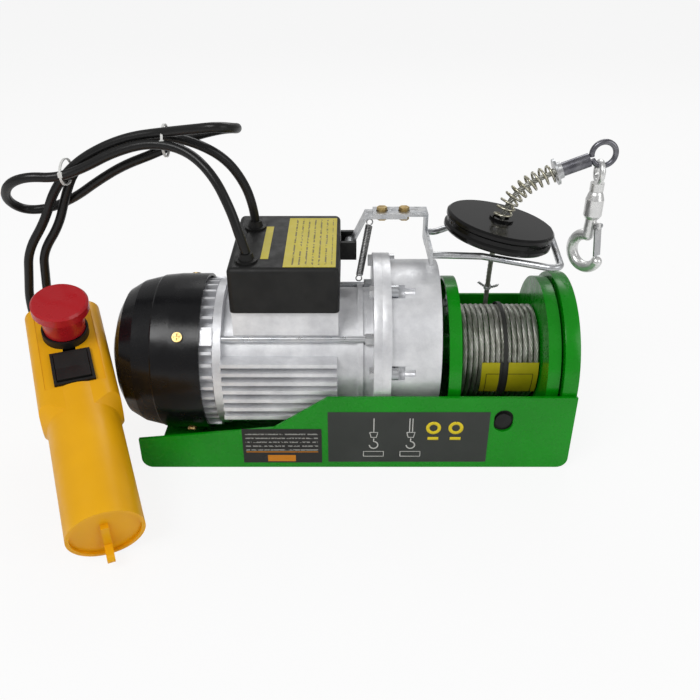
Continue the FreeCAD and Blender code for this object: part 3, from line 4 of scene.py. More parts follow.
import bpy
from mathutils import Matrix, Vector


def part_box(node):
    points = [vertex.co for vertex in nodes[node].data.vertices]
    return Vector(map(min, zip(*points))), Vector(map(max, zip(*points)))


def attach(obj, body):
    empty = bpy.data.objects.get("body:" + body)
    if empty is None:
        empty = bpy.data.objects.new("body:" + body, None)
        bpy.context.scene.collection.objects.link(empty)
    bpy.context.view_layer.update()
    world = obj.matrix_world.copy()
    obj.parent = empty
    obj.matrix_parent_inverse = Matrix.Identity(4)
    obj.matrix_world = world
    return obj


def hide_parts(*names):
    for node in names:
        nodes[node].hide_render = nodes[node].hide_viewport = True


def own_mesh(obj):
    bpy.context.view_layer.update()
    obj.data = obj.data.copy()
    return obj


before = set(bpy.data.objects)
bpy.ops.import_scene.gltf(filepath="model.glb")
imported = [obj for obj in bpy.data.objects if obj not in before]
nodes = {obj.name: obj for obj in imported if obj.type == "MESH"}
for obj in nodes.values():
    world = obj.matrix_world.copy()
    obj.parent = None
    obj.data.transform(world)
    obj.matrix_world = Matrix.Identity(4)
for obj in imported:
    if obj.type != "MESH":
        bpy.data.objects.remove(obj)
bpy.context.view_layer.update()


# ---- Green frame -----------------------------------------------------------------------------
# One folded tray of 2.5 mm steel sheet with a low front wall, a taller rear wall and a round
# end plate that is screwed to its right end. All of it is sprayed with a gloss green enamel.

class Wire:
    """One output socket of a finish. Sums, products and comparisons add their Math nodes."""

    def __init__(self, finish, socket):
        self.finish = finish
        self.socket = socket

    def math(self, operation, *values):
        return self.finish.node("ShaderNodeMath", {"operation": operation}, dict(enumerate(values)))

    def __add__(self, other):
        return self.math("ADD", self, other)

    def __rsub__(self, other):
        return self.math("SUBTRACT", other, self)

    def __mul__(self, other):
        return self.math("MULTIPLY", self, other)

    def __gt__(self, other):
        return self.math("GREATER_THAN", self, other)

    def __lt__(self, other):
        return self.math("LESS_THAN", self, other)

    def wrap(self, length):
        return self.math("FLOORED_MODULO", self, length)

    def within(self, low, high):
        return (self > low) * (self < high)


class Finish:
    """A material on one Principled shader, with its sockets fed by values or wires."""

    def __init__(self, name, colour, roughness, **settings):
        self.material = bpy.data.materials.new(name)
        self.material.use_nodes = True
        self.tree = self.material.node_tree
        self.shader = self.tree.nodes["Principled BSDF"]
        self.set("Base Color", colour)
        self.set("Roughness", roughness)
        self.set("Specular IOR Level", 0.3)
        for key, value in settings.items():
            self.set(key.replace("_", " "), value)

    def set(self, socket, value):
        self.feed(self.shader.inputs[socket], value)

    def feed(self, socket, value):
        if isinstance(value, Wire):
            self.tree.links.new(value.socket, socket)
        elif isinstance(value, tuple) and len(value) == 3 and socket.type == "RGBA":
            socket.default_value = (*value, 1)
        else:
            socket.default_value = value

    def node(self, kind, settings=None, values=None, output=0):
        made = self.tree.nodes.new(kind)
        for key, value in (settings or {}).items():
            setattr(made, key, value)
        for key, value in (values or {}).items():
            self.feed(made.inputs[key], value)
        return Wire(self, made.outputs[output])

    def place(self):
        return self.node("ShaderNodeTexCoord", output="Object")

    def axes(self):
        split = self.node("ShaderNodeSeparateXYZ", values={0: self.place()})
        return [Wire(self, output) for output in split.socket.node.outputs]

    def noise(self, scale, detail=3.0, roughness=0.55):
        return self.node("ShaderNodeTexNoise", values={
            "Vector": self.place(), "Scale": scale, "Detail": detail, "Roughness": roughness})

    def spread(self, noise, low, high):
        """The middle of a noise, where nearly all of it lies, made into low to high."""
        return self.node("ShaderNodeMapRange", values={
            "Value": noise, "From Min": 0.3, "From Max": 0.7, "To Min": low, "To Max": high})

    def mix(self, share, first, second):
        """Two colours mixed. A Mix node has its colour sockets after those for other types."""
        return self.node("ShaderNodeMix", {"data_type": "RGBA"}, {0: share, 6: first, 7: second}, output=2)

    def drift(self, scale, first, second, detail=3.0, roughness=0.55):
        """A colour that drifts between two."""
        return self.mix(self.spread(self.noise(scale, detail, roughness), 0, 1), first, second)

    def mottle(self, *drift):
        self.set("Base Color", self.drift(*drift))

    def sheen(self, scale, low, high, detail=3.0):
        self.set("Roughness", self.spread(self.noise(scale, detail), low, high))

    def relief(self, height, distance, strength=1.0):
        self.set("Normal", self.node("ShaderNodeBump", values={
            "Height": height, "Distance": distance, "Strength": strength}))

    def grain(self, scale, distance, strength=1.0, detail=2):
        self.relief(self.noise(scale, detail), distance, strength)


def dress(finish, *names):
    """Gives the finish to the CAD nodes of those names."""
    for name in names:
        for slot in nodes[name].material_slots:
            slot.material = finish.material


def soften(width, *names):
    """A small rounded edge on each sharp edge of those CAD nodes."""
    for name in names:
        weld = nodes[name].modifiers.new("joined", "WELD")
        weld.merge_threshold = 0.00001
        edge = nodes[name].modifiers.new("edges", "BEVEL")
        edge.width = width
        edge.segments = 2
        edge.limit_method = "ANGLE"
        edge.angle_limit = math.radians(35)
        edge.harden_normals = False


green = Finish("green_enamel", (0.004, 0.27, 0.010), 0.26, Coat_Weight=0.15, Coat_Roughness=0.08)
green.mottle(18, (0.002, 0.235, 0.003), (0.003, 0.30, 0.006))
green.sheen(90, 0.2, 0.36)
green.grain(420, 0.00005, detail=1)
dress(green, "frame", "end_plate", "drum")
soften(0.0004, "frame", "end_plate")


# ---- Data labels on the front wall -----------------------------------------------------------
# Two printed polyester labels are stuck to the front wall: a black one with ruled lines and a
# bare tab, and a larger grey one with plain pictures of a hook. They are 0.2 mm thick.

label_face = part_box("frame")[0][1]
label_thickness = 0.0002
ink_thickness = 0.0001


def flat_plate(name, across, up, gap, thickness, finish):
    """A thin plate with softened edges, that gap in front of the front wall."""
    low = (across[0], label_face - gap - thickness, up[0])
    high = (across[1], label_face - gap, up[1])
    bpy.ops.object.select_all(action="DESELECT")
    bpy.ops.mesh.primitive_cube_add(size=1, location=[(a + b) / 2 for a, b in zip(low, high)])
    plate = bpy.context.object
    plate.name = name
    plate.scale = [b - a for a, b in zip(low, high)]
    bpy.ops.object.transform_apply(location=True, rotation=True, scale=True)
    edge = plate.modifiers.new("edge", "BEVEL")
    edge.width = 0.4 * thickness
    edge.segments = 2
    bpy.ops.object.modifier_apply(modifier="edge")
    plate.data.materials.append(finish.material)
    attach(plate, "hoist")


black_label = Finish("black_label", (0.012, 0.012, 0.011), 0.32, Coat_Weight=0.3)
x, _, z = black_label.axes()
rows = z.wrap(0.0036).within(0.0014, 0.0024)
printed = rows * z.within(0.0145, 0.0335) * x.within(-0.0815, -0.0275)
broken = black_label.noise(900, 0) > 0.42
black_label.set("Base Color", black_label.mix(printed * broken, (0.014, 0.013, 0.012), (0.34, 0.34, 0.32)))
black_label.sheen(200, 0.26, 0.4)
flat_plate("data_label", (-0.0838, -0.0246), (0.0045, 0.0355), 0, label_thickness,
           black_label)
amber = Finish("amber_print", (0.62, 0.22, 0.01), 0.35)
amber.sheen(300, 0.28, 0.42)
flat_plate("data_label_line", (-0.0815, -0.0275), (0.0142, 0.0149), label_thickness, ink_thickness,
           amber)
flat_plate("data_label_tab", (-0.0655, -0.0445), (0.0058, 0.0116), label_thickness, ink_thickness,
           amber)

grey_label = Finish("grey_label", (0.030, 0.034, 0.030), 0.35, Coat_Weight=0.3)
grey_label.mottle(25, (0.024, 0.028, 0.024), (0.036, 0.04, 0.036))
grey_label.sheen(150, 0.28, 0.42)
flat_plate("picture_label", (-0.0200, 0.0990), (0.0052, 0.0505), 0, label_thickness,
           grey_label)
white_ink = Finish("white_ink", (0.58, 0.58, 0.55), 0.4)
white_ink.sheen(300, 0.32, 0.46)
yellow_ink = Finish("yellow_ink", (0.80, 0.62, 0.02), 0.4)
yellow_ink.sheen(300, 0.32, 0.46)


def curve_object(name, kind, lines, radius=0.0, rounding=1, caps=True, steps=12):
    """A curve object along lines of points: bars of that radius, or bare lines without one."""
    curve = bpy.data.curves.new(name, "CURVE")
    curve.dimensions = "3D"
    curve.resolution_u = steps
    curve.bevel_depth = radius
    curve.bevel_resolution = rounding
    curve.use_fill_caps = caps
    for points in lines:
        spline = curve.splines.new(kind)
        spline.points.add(len(points) - 1)
        for control, point in zip(spline.points, points):
            control.co = (*point, 1)
        if kind == "NURBS":
            spline.order_u = 3
            spline.use_endpoint_u = True
    made = bpy.data.objects.new(name, curve)
    bpy.context.collection.objects.link(made)
    return made


def turn_to_mesh(piece):
    bpy.ops.object.select_all(action="DESELECT")
    piece.select_set(True)
    bpy.context.view_layer.objects.active = piece
    bpy.ops.object.convert(target="MESH")


def printed_line(name, points, width, finish):
    """A flat printed line on the front wall's label through points in X and Z."""
    line = curve_object(name, "POLY", [[(x, 0, z) for x, z in points]], width / 2)
    turn_to_mesh(line)
    flatness = 0.1
    for vertex in line.data.vertices:
        vertex.co.y = label_face - label_thickness - ink_thickness / 2 + vertex.co.y * flatness
    line.data.materials.append(finish.material)
    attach(line, "hoist")


def printed_arc(x, z, radius, turns):
    """Points in X and Z on an arc, at those turns in degrees from its top."""
    return [(x + radius * math.sin(math.radians(turn)), z + radius * math.cos(math.radians(turn)))
            for turn in turns]


fine_pen, bold_pen = 0.0008, 0.0030
block_corners = [(-0.003, 0.0325), (0.003, 0.0325), (0.002, 0.0280), (-0.002, 0.0280), (-0.003, 0.0325)]
load_corners = [(-0.0075, 0.0105), (0.0075, 0.0105), (0.0075, 0.0150), (-0.0075, 0.0150), (-0.0075, 0.0105)]
for count, middle in enumerate((0.0140, 0.0415)):
    falls = 1 + count
    for fall in range(falls):
        fall_x = middle + (fall - (falls - 1) / 2) * 0.0022
        printed_line(f"picture_rope_{count}_{fall}", [(fall_x, 0.0450), (fall_x, 0.0330)], fine_pen,
                     white_ink)
    printed_line(f"picture_block_{count}", [(middle + x, z) for x, z in block_corners], 0.0009,
                 white_ink)
    bowl = [(middle, 0.0270)] + printed_arc(middle, 0.0210, 0.0032, range(0, 271, 30))
    printed_line(f"picture_hook_{count}", bowl, 0.0010, white_ink)
    printed_line(f"picture_base_{count}", [(middle + x, z) for x, z in load_corners], fine_pen,
                 white_ink)
for count, middle in enumerate((0.0580, 0.0745)):
    ring = printed_arc(middle, 0.0365, 0.0043, range(0, 361, 20))
    printed_line(f"picture_ring_{count}", ring, bold_pen, yellow_ink)
    printed_line(f"picture_bar_{count}", [(middle - 0.004, 0.0270), (middle + 0.004, 0.0270)], bold_pen,
                 yellow_ink)


# ---- Cast aluminium motor and gear case ------------------------------------------------------
# The motor housing, the end bell and both halves of the gear case are die castings, left as
# cast. Their skin is pale and slightly grainy, with darker patches from cutting and handling.

aluminium = Finish("cast_aluminium", (0.50, 0.51, 0.54), 0.42, Metallic=0.45)
aluminium.mottle(35, (0.66, 0.665, 0.69), (0.98, 0.985, 1.0), 6, 0.65)
aluminium.sheen(160, 0.32, 0.55, 4)
aluminium.relief(aluminium.noise(900, 3) * 0.6 + aluminium.noise(160, 2), 0.0002, 0.7)
dress(aluminium, "motor_housing", "end_bell", "gearbox_cover", "gear_housing")
soften(0.0005, "gearbox_cover", "gear_housing")


# ---- Fan cover and black mouldings -----------------------------------------------------------
# A glossy black hood over the cooling fan, moulded with a shallow dome and a rolled rim. The
# box on the motor, the glands and the handset's collar and rocker are a duller, finer black.

gloss_black = Finish("gloss_black_plastic", (0.006, 0.006, 0.007), 0.2)
gloss_black.sheen(60, 0.16, 0.32)
gloss_black.grain(700, 0.00003)
dress(gloss_black, "fan_cover")
fine_black = Finish("matte_black_plastic", (0.016, 0.016, 0.016), 0.48)
fine_black.mottle(40, (0.008, 0.008, 0.008), (0.016, 0.016, 0.015))
fine_black.sheen(120, 0.4, 0.58)
fine_black.grain(1600, 0.00008, 0.8)
dress(fine_black, "fan", "box_cover", "limit_switch", "cord_glands", "estop_collar", "estop_plunger",
      "rocker_bezel", "rocker", "lever_pivot", "frame_bolts")
soften(0.0008, "box_cover")


# ---- Steel pieces and the motor's inside -----------------------------------------------------
# Straps and bolts are zinc plated, and the small screws are yellow passivated. Shafts and gears
# are bare machined steel, bushes are sintered bronze, and the motor has laminations and copper.

zinc = Finish("zinc_plate", (0.55, 0.56, 0.58), 0.3, Metallic=0.9)
zinc.mottle(60, (0.48, 0.50, 0.53), (0.66, 0.66, 0.66), 4)
zinc.sheen(220, 0.22, 0.42, 4)
zinc.grain(900, 0.00003)
dress(zinc, "rope_clamp", "housing_bolts", "through_bolts", "lever_arm", "lever_bracket", "rope_loop",
      "wire_tie", "cup_washer", "hook_latch")
yellow_zinc = Finish("yellow_zinc_plate", (0.50, 0.36, 0.14), 0.32, Metallic=0.9)
yellow_zinc.mottle(200, (0.42, 0.27, 0.09), (0.62, 0.48, 0.22), 4)
yellow_zinc.sheen(300, 0.24, 0.42)
dress(yellow_zinc, "cover_screws", "lever_bolts")
machined = Finish("machined_steel", (0.45, 0.46, 0.48), 0.3, Metallic=0.95)
machined.mottle(80, (0.36, 0.37, 0.39), (0.54, 0.55, 0.57), 4)
machined.sheen(260, 0.22, 0.42, 4)
dress(machined, "drum_shaft", "layshaft_gear", "layshaft_pinion", "drum_gear", "motor_shaft",
      "motor_bearings")
bronze = Finish("sintered_bronze", (0.40, 0.24, 0.09), 0.45, Metallic=0.9)
bronze.mottle(400, (0.32, 0.18, 0.06), (0.46, 0.29, 0.12), 2)
dress(bronze, "drum_bearings", "layshaft_bushes")
lamination = Finish("laminated_steel", (0.22, 0.22, 0.23), 0.5, Metallic=0.8)
along, _, _ = lamination.axes()
sheet_pitch = 0.001
lamination.set("Base Color", lamination.mix(along.wrap(sheet_pitch) > sheet_pitch / 2,
                                            (0.16, 0.16, 0.17), (0.26, 0.26, 0.27)))
dress(lamination, "stator_core", "rotor_core", "brake_disc")
copper = Finish("varnished_copper", (0.45, 0.15, 0.04), 0.35, Metallic=0.8)
copper.mottle(300, (0.34, 0.10, 0.02), (0.55, 0.20, 0.06), 2)
dress(copper, "stator_windings")
grey_plastic = Finish("grey_plastic", (0.30, 0.30, 0.31), 0.5)
grey_plastic.mottle(50, (0.26, 0.26, 0.27), (0.34, 0.34, 0.35))
grey_plastic.grain(1200, 0.00006)
dress(grey_plastic, "box_base", "contact_blocks")
nylon = Finish("white_nylon", (0.70, 0.70, 0.68), 0.4)
nylon.sheen(200, 0.32, 0.5)
dress(nylon, "capacitor", "cord_ties")


# ---- Wire rope on the drum and up to the hook ------------------------------------------------
# A 4 mm galvanised rope of six strands. Fifteen turns lie side by side on the drum, and its
# free end rises behind them, passes through the weight and ends in a swaged eye.

def smooth_line(name, points):
    """Points along the NURBS line that has those control points, in metres."""
    line = curve_object(name, "NURBS", [points], caps=False)
    bpy.context.view_layer.update()
    read = bpy.data.meshes.new_from_object(line.evaluated_get(bpy.context.evaluated_depsgraph_get()))
    found = [vertex.co.copy() for vertex in read.vertices]
    bpy.data.objects.remove(line)
    return found


def even_steps(points, step):
    """The same line with points a fixed step apart."""
    made = [points[0].copy()]
    left = step
    for first, last in zip(points, points[1:]):
        run = (last - first).length
        while run >= left and run > 0:
            first = first.lerp(last, left / run)
            made.append(first.copy())
            run = (last - first).length
            left = step
        left -= run
    return made


def wound_round(points, radius, lay, phase):
    """A helix of that radius and lay round a line, carried along it without twist."""
    side = Vector((0.3, 0.9, 0.2))
    travelled = 0.0
    helix = []
    for index, point in enumerate(points):
        after = points[min(index + 1, len(points) - 1)]
        before = points[max(index - 1, 0)]
        tangent = (after - before).normalized()
        side = (side - tangent * side.dot(tangent)).normalized()
        other = tangent.cross(side)
        if index:
            travelled += (point - points[index - 1]).length
        turn = phase + 2 * math.pi * travelled / lay
        helix.append(point + (side * math.cos(turn) + other * math.sin(turn)) * radius)
    return helix


def bars(name, lines, radius, finish, body, rounding=1):
    """Round bars along lines of points, made one mesh."""
    piece = curve_object(name, "POLY", lines, radius, rounding)
    turn_to_mesh(piece)
    bpy.ops.object.shade_smooth()
    piece.data.materials.clear()
    piece.data.materials.append(finish.material)
    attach(piece, body)
    return piece


def circle(centre, radius, turns):
    """Points on a circle that stands along X, at those turns in degrees."""
    return [centre + Vector((math.cos(math.radians(turn)), 0, math.sin(math.radians(turn)))) * radius
            for turn in turns]


strand = Finish("galvanised_strand", (0.42, 0.42, 0.38), 0.36, Metallic=0.8)
strand.mottle(120, (0.26, 0.26, 0.22), (0.56, 0.56, 0.52), 4)
strand.sheen(400, 0.28, 0.46)
rope_radius = 0.002
strand_radius = 0.00072
rope_lay = 0.026
strands = 6


def laid_strands(line):
    return [wound_round(line, rope_radius - strand_radius, rope_lay, 2 * math.pi * number / strands)
            for number in range(strands)]


wound_low, wound_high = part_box("rope_winding")
turns = 15
pitch = (wound_high[0] - wound_low[0]) / turns
drum_axis = 0.065
winding_radius = wound_high[2] - drum_axis - rope_radius
wander = random.Random(4)
stray = 0.00022
drift = [wander.uniform(-stray, stray) for _ in range(turns + 2)]
steps = 72
wrap = []
for step in range((turns - 1) * steps + steps // 2):
    lap = step / steps
    turn = 2 * math.pi * lap
    share = lap - int(lap)
    shift = drift[int(lap)] * (1 - share) + drift[int(lap) + 1] * share
    wrap.append(Vector((wound_low[0] + pitch / 2 + pitch * lap + shift,
                        winding_radius * math.sin(turn), drum_axis + winding_radius * math.cos(turn))))
winding = bars("wound_rope", laid_strands(wrap), strand_radius, strand, "drum")
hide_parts("rope_winding")

rope_plane = 0.012
rope_route = [(0.108, 0.0408, 0.072), (0.108, 0.038, 0.092), (0.1065, 0.028, 0.118), (0.105, 0.017, 0.140),
              (0.1072, 0.0125, 0.158), (0.1098, rope_plane, 0.176), (0.117, rope_plane, 0.190),
              (0.131, rope_plane, 0.200), (0.148, rope_plane, 0.2065)]
riser = even_steps(smooth_line("rope_riser", rope_route), 0.0015)
free_rope = bars("free_rope", laid_strands(riser), strand_radius, strand, "hoist")

tie_middle = Vector((0.1073, 0.0335, 0.1035))
tail_ends = [Vector((0.0990, 0.0300, 0.1105)), Vector((0.1150, 0.0290, 0.1085))]
tie_wire_radius = 0.00055
tie_wrap_step, tie_wrap_steps = 0.00002, 160
tie_twist_radius, tie_twist_lay = 0.0006, 0.004
rope_run = (Vector(rope_route[2]) - Vector(rope_route[1])).normalized()
wrap_line = [tie_middle + rope_run * tie_wrap_step * step for step in range(tie_wrap_steps)]
tie_lines = [wound_round(wrap_line, rope_radius + 0.0004, 2 * tie_wire_radius, 0)]
for tail_end in tail_ends:
    tail_line = [tie_middle.lerp(tail_end, step / 60) for step in range(61)]
    tie_lines += [wound_round(tail_line, tie_twist_radius, tie_twist_lay, phase) for phase in (0, math.pi)]
twist = bars("twisted_wire", tie_lines, tie_wire_radius, zinc, "hoist")
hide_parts("wire_tie")

dark_steel = Finish("dark_steel", (0.16, 0.16, 0.18), 0.3, Metallic=0.9)
dark_steel.mottle(150, (0.12, 0.12, 0.14), (0.26, 0.26, 0.28))
dark_steel.sheen(300, 0.24, 0.4)
eye_radius = 0.0085
eye_reach = eye_radius + rope_radius
_, eye_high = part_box("rope_free_end")
eye_centre = Vector((eye_high[0] - eye_reach, rope_plane, eye_high[2] - eye_reach))
heading = (Vector(rope_route[-1]) - Vector(rope_route[-2])).normalized()
ferrule_turn = math.degrees(math.atan2(-heading.z, -heading.x))
eye = circle(eye_centre, eye_radius, [ferrule_turn + turn for turn in range(8, 353, 8)])
bars("rope_eye", [eye], rope_radius, dark_steel, "hoist", 5)
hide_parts("rope_free_end")
dress(dark_steel, "ferrule")


# ---- Limit weight ----------------------------------------------------------------------------
# A turned iron disc painted gloss black, with a groove round its rim. The rope passes through
# it, and it rests on the wire loop. A loose washer on top of it carries the buffer spring.

weight_black = Finish("weight_black", (0.005, 0.005, 0.005), 0.16)
weight_black.sheen(80, 0.1, 0.22)
weight_black.grain(500, 0.00004)
dress(weight_black, "weight_disc")


# ---- Buffer spring and return spring ---------------------------------------------------------
# The buffer spring has ten open turns of 1.8 mm plated wire between the weight and a cup washer.
# The return spring is a close-wound extension spring of dark oiled wire with a hook each end.

spring_finish = Finish("plated_spring_wire", (0.50, 0.48, 0.38), 0.28, Metallic=0.9)
spring_finish.mottle(150, (0.40, 0.38, 0.26), (0.62, 0.60, 0.52))
spring_route = [(0.1087, rope_plane, 0.1716), (0.1103, rope_plane, 0.1792), (0.119, rope_plane, 0.191),
                (0.131, rope_plane, 0.200), (0.1432, rope_plane, 0.2046)]
core_step = 0.0004
core_line = even_steps(smooth_line("spring_line", spring_route), core_step)
coils = 10
coil_pitch = core_step * (len(core_line) - 1) / coils
coil_radius, coil_wire_radius = 0.0062, 0.0009
first_angle = 0.4
spring = bars("buffer_coil", [wound_round(core_line, coil_radius, coil_pitch, first_angle)],
              coil_wire_radius, spring_finish, "hoist", 2)
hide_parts("buffer_spring")
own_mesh(spring)

dark_wire = Finish("oiled_spring_wire", (0.2, 0.2, 0.2), 0.3, Metallic=0.85)
dark_wire.mottle(300, (0.20, 0.20, 0.20), (0.42, 0.42, 0.41))
back_low, back_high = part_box("return_spring")
end_inset = 0.0006
lever_side = 0.0324
foot = Vector((0.003, lever_side, back_low[2] + end_inset))
head = Vector((0.012, lever_side, back_high[2] - end_inset))
tension = (head - foot).normalized()
body_line = [foot + (head - foot) * (0.1 + 0.8 * step / 900) for step in range(901)]
body_radius, body_pitch, body_wire_radius = 0.0024, 0.0013, 0.0005
end_radius, end_offset, end_sweep = 0.0023, 0.0026, 300
return_lines = [wound_round(body_line, body_radius, body_pitch, 0)]
for end, sign, first_turn in ((foot, 1, -250), (head, -1, -70)):
    end_centre = end + tension * sign * end_offset
    return_lines.append(circle(end_centre, end_radius, range(first_turn, first_turn + end_sweep, 15)))
tension_spring = bars("tension_coil", return_lines, body_wire_radius, dark_wire, "hoist")
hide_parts("return_spring")


# ---- Hook ------------------------------------------------------------------------------------
# A forged hook turns on the swivel under its ring. Its plated skin is bright but slightly
# uneven, as a forging is under thin plating. The sprung latch is zinc plated sheet.

bright = Finish("bright_plate", (0.86, 0.86, 0.85), 0.3, Metallic=0.8)
bright.sheen(120, 0.24, 0.40)
bright.grain(260, 0.00006, 0.6)
dress(bright, "hook_ring", "hook")


# ---- Cards and labels ------------------------------------------------------------------------
# The rope is held for shipping by a dark strap with a yellow card, which has a plain ruled
# border. The box carries a plain yellow sticker with ruled lines and a narrow strip beside it.

card = Finish("yellow_card", (0.5, 0.44, 0.01), 0.5)
x, _, z = card.axes()
left, right, low, high = 0.0985, 0.134, 0.030, 0.066
rule = 0.0006
bordered = x.within(left, right) * z.within(low, high)
inner = x.within(left + rule, right - rule) * z.within(low + rule, high - rule)
paper_tone = card.drift(60, (0.40, 0.35, 0.006), (0.52, 0.46, 0.01))
ruled = card.mix(bordered * (1 - inner), paper_tone, (0.05, 0.05, 0.01))
card.set("Base Color", card.mix(x.within(0.1085, 0.1150), ruled, (0.03, 0.03, 0.028)))
card.sheen(200, 0.4, 0.6)
dress(card, "rope_card")

sticker = Finish("yellow_sticker", (0.62, 0.53, 0.03), 0.4)
x, y, _ = sticker.axes()
words = x.wrap(0.0046).within(0.0018, 0.0030) * (sticker.noise(520, 0) > 0.44)
words = words * x.within(-0.0475, -0.0160) * y.within(-0.039, 0.034)
ground = sticker.drift(40, (0.50, 0.41, 0.012), (0.58, 0.48, 0.02))
sticker.set("Base Color", sticker.mix(words, ground, (0.16, 0.13, 0.01)))
sticker.sheen(200, 0.3, 0.44)
lid_near_y, lid_near_z = -0.045, 0.154
lid_far_y, lid_far_z = 0.045, 0.162
lid_slope = (lid_far_z - lid_near_z) / (lid_far_y - lid_near_y)
sticker_above, sticker_sunk = 0.00018, 0.0001


def box_sticker(name, left, right, near, far):
    """A sticker that lies on the box's sloping top, a little sunk into it."""
    bpy.ops.object.select_all(action="DESELECT")
    bpy.ops.mesh.primitive_cube_add(size=1)
    patch = bpy.context.object
    patch.name = name
    for vertex in patch.data.vertices:
        x = left if vertex.co.x < 0 else right
        y = near if vertex.co.y < 0 else far
        z = lid_near_z + (y - lid_near_y) * lid_slope
        vertex.co = (x, y, z + (sticker_above if vertex.co.z > 0 else -sticker_sunk))
    patch.data.materials.append(sticker.material)
    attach(patch, "hoist")


box_sticker("box_sticker", -0.0500, -0.0135, -0.042, 0.037)
box_sticker("box_sticker_strip", -0.0665, -0.0610, -0.030, 0.022)


# ---- Handset ---------------------------------------------------------------------------------
# Two satin yellow shells meet on a seam along the sides. The face carries a red mushroom stop
# button in a black collar and a black rocker.

yellow = Finish("yellow_plastic", (0.76, 0.36, 0.008), 0.36)
yellow.mottle(20, (0.84, 0.40, 0.002), (0.92, 0.46, 0.004))
yellow.sheen(120, 0.3, 0.44)
yellow.grain(1300, 0.00005, 0.6)
dress(yellow, "pendant_front", "pendant_back", "pendant_end_cap")
red = Finish("red_plastic", (0.46, 0.012, 0.018), 0.3, Coat_Weight=0.2)
red.sheen(100, 0.24, 0.38)
red.grain(900, 0.00004, 0.6)
dress(red, "estop_cap")


# ---- Control cords ---------------------------------------------------------------------------
# Two round sheathed cords go from the box to the handset. The longer one is looped at both
# ends, and nylon ties bind them into a stiff bundle that stands above the motor.

sheath = Finish("cord_sheath", (0.012, 0.012, 0.012), 0.3)
sheath.sheen(90, 0.24, 0.38)
sheath.grain(600, 0.00005, 0.5)
cord_diameter = 0.0068


def cord_piece(name, points, node):
    """A sheathed cord on its NURBS route in millimetres, which stands for its CAD node."""
    route = [[number / 1000 for number in point] for point in points]
    piece = curve_object(name, "NURBS", [route], cord_diameter / 2, 5, caps=False, steps=10)
    piece.data.materials.append(sheath.material)
    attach(piece, "hoist")
    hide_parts(node)


long_route = [(-76, -32.5, 161.1), (-79, -33, 172), (-84, -30, 190), (-96, -21, 213), (-115, -10, 227),
              (-140, -4, 230), (-166, -2, 223), (-190, 0, 211), (-210, 0, 204), (-230, -3, 206),
              (-247, 2, 199), (-257, 15, 184), (-251, 28, 171), (-233, 31, 171), (-210, 27, 181),
              (-188, 21, 196), (-166, 15, 209), (-141, 9, 219), (-118, 18, 228), (-97, 25, 232),
              (-82, 12, 236), (-80, -7, 240), (-90, -20, 244), (-108, -14, 241), (-131, -1, 236),
              (-156, 3, 232), (-180, 5, 223), (-201, 8, 210), (-219, 12, 191), (-231, 15, 167),
              (-249, 16, 143), (-254, 18, 120), (-258, 20, 104), (-259, 21, 91),
              (-256.1, 16.7, 83.5), (-252.1, 7, 80.2)]
short_route = [(-75, 20.5, 165.8), (-75, 19, 174), (-80, 18, 194), (-92, 12, 215), (-113, 7, 228),
               (-137, 9, 232), (-161, 11, 228), (-184, 13, 219), (-203, 17, 205), (-214, 20, 185),
               (-223, 20, 162), (-239, 19, 141), (-242, 21, 122), (-245, 24, 105), (-246, 26, 92),
               (-244.1, 21.7, 83.5), (-240.1, 12, 80.2)]
cord_piece("long_cord", long_route, "cord_long")
cord_piece("short_cord", short_route, "cord_short")
band_width, band_wall = 0.0016, 0.0009
lock_size = (0.0032, 0.0026, 0.0036)


def tie_band(name, centre, across, tall):
    """A thin nylon band round the bundle, with its square head."""
    bpy.ops.object.select_all(action="DESELECT")
    bpy.ops.mesh.primitive_cylinder_add(vertices=48, radius=0.5, depth=band_width,
                                        end_fill_type="NOTHING", location=centre,
                                        rotation=(0, math.pi / 2, 0))
    band = bpy.context.object
    band.name = name
    band.scale = (tall, across, 1)
    bpy.ops.object.transform_apply(location=True, rotation=True, scale=True)
    wall = band.modifiers.new("wall", "SOLIDIFY")
    wall.thickness = band_wall
    wall.offset = -1
    bpy.ops.object.modifier_apply(modifier="wall")
    bpy.ops.object.shade_smooth_by_angle(angle=math.radians(40))
    near_side = (centre[0], centre[1] - across / 2 + 0.0012, centre[2] + 0.001)
    bpy.ops.mesh.primitive_cube_add(size=1, location=near_side)
    lock = bpy.context.object
    lock.scale = lock_size
    edge = lock.modifiers.new("edge", "BEVEL")
    edge.width = 0.08
    edge.segments = 2
    bpy.ops.object.modifier_apply(modifier="edge")
    bpy.ops.object.transform_apply(location=True, rotation=True, scale=True)
    band.select_set(True)
    bpy.context.view_layer.objects.active = band
    bpy.ops.object.join()
    band.data.materials.append(nylon.material)
    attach(band, "hoist")
    return band


first_tie = tie_band("bundle_tie_1", (-0.131, 0.0034, 0.2294), 0.0225, 0.0225)
tie_band("bundle_tie_2", (-0.206, 0.009, 0.206), 0.0255, 0.0185)
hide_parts("cord_ties")


# ---- Floor, light and camera -----------------------------------------------------------------
# The hoist stands on a plain white floor under large soft lamps. The floor also glows by itself
# for the camera, and the sky is white for it, so that both look like one white backdrop.

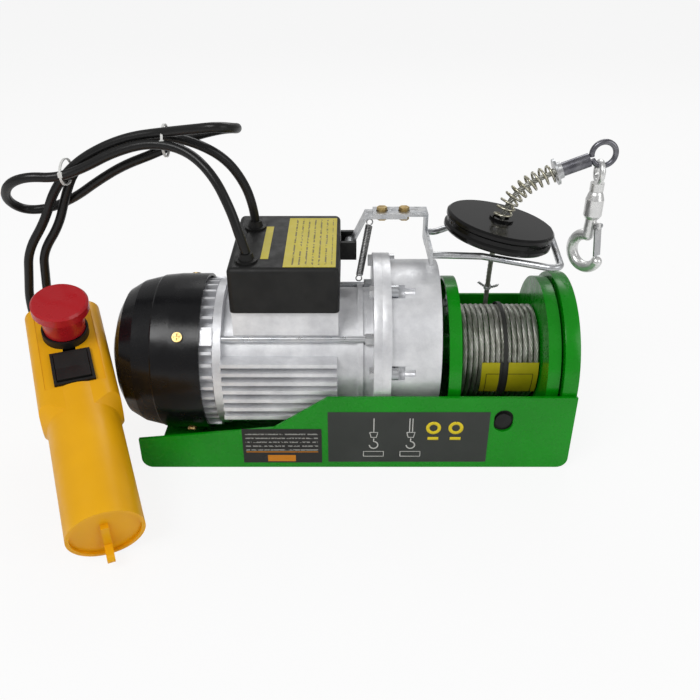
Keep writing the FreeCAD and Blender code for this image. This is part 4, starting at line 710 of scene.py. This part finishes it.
bpy.ops.object.select_all(action="DESELECT")
bpy.ops.mesh.primitive_plane_add(size=12, location=(0, 0, -0.0003))
floor = bpy.context.object
floor.name = "floor"
paper = Finish("paper", (0.92, 0.92, 0.92), 0.9)
glow = paper.node("ShaderNodeEmission", values={"Color": (1, 1, 1, 1), "Strength": 1.0})
camera_ray = paper.node("ShaderNodeLightPath", output="Is Camera Ray")
glow_share = 0.88
blend = paper.node("ShaderNodeMixShader", values={
    0: camera_ray * glow_share, 1: Wire(paper, paper.shader.outputs[0]), 2: glow})
paper.feed(paper.tree.nodes["Material Output"].inputs[0], blend)
floor.data.materials.append(paper.material)

world = bpy.data.worlds.new("studio")
bpy.context.scene.world = world
world.use_nodes = True
sky = world.node_tree
backdrop = sky.nodes["Background"]
backdrop.inputs["Color"].default_value = (1, 1, 1, 1)
rays = sky.nodes.new("ShaderNodeLightPath")
strength = sky.nodes.new("ShaderNodeMath")
strength.operation = "MAXIMUM"
strength_off_camera = 0.36
sky.links.new(rays.outputs["Is Camera Ray"], strength.inputs[0])
strength.inputs[1].default_value = strength_off_camera
sky.links.new(strength.outputs[0], backdrop.inputs["Strength"])


def lamp(name, place, aim, size, power):
    """A rectangular lamp at a place, turned to its aim."""
    light = bpy.data.lights.new(name, "AREA")
    light.shape = "RECTANGLE"
    light.size, light.size_y = size
    light.energy = power
    holder = bpy.data.objects.new(name, light)
    holder.location = place
    holder.rotation_euler = (Vector(aim) - Vector(place)).to_track_quat("-Z", "Y").to_euler()
    bpy.context.collection.objects.link(holder)


lamp("key", (-0.7, -1.0, 1.4), (0, 0, 0.08), (0.9, 0.6), 12.5)
lamp("fill", (1.2, -0.8, 0.8), (0, 0, 0.08), (0.9, 0.9), 4.5)
lamp("back", (0.2, 1.2, 1.2), (0, 0, 0.08), (1.2, 0.5), 6)

camera = bpy.data.cameras.new("camera")
camera.lens = 38.2
camera.sensor_width = 36
camera.clip_start = 0.01
viewer = bpy.data.objects.new("camera", camera)
viewer.location = (-0.0036, -0.5139, 0.3569)
camera_aim = Vector((-0.0036, 0, 0.065))
viewer.rotation_euler = (camera_aim - viewer.location).to_track_quat("-Z", "Y").to_euler()
bpy.context.collection.objects.link(viewer)
bpy.context.scene.camera = viewer
bpy.context.scene.view_settings.view_transform = "Standard"
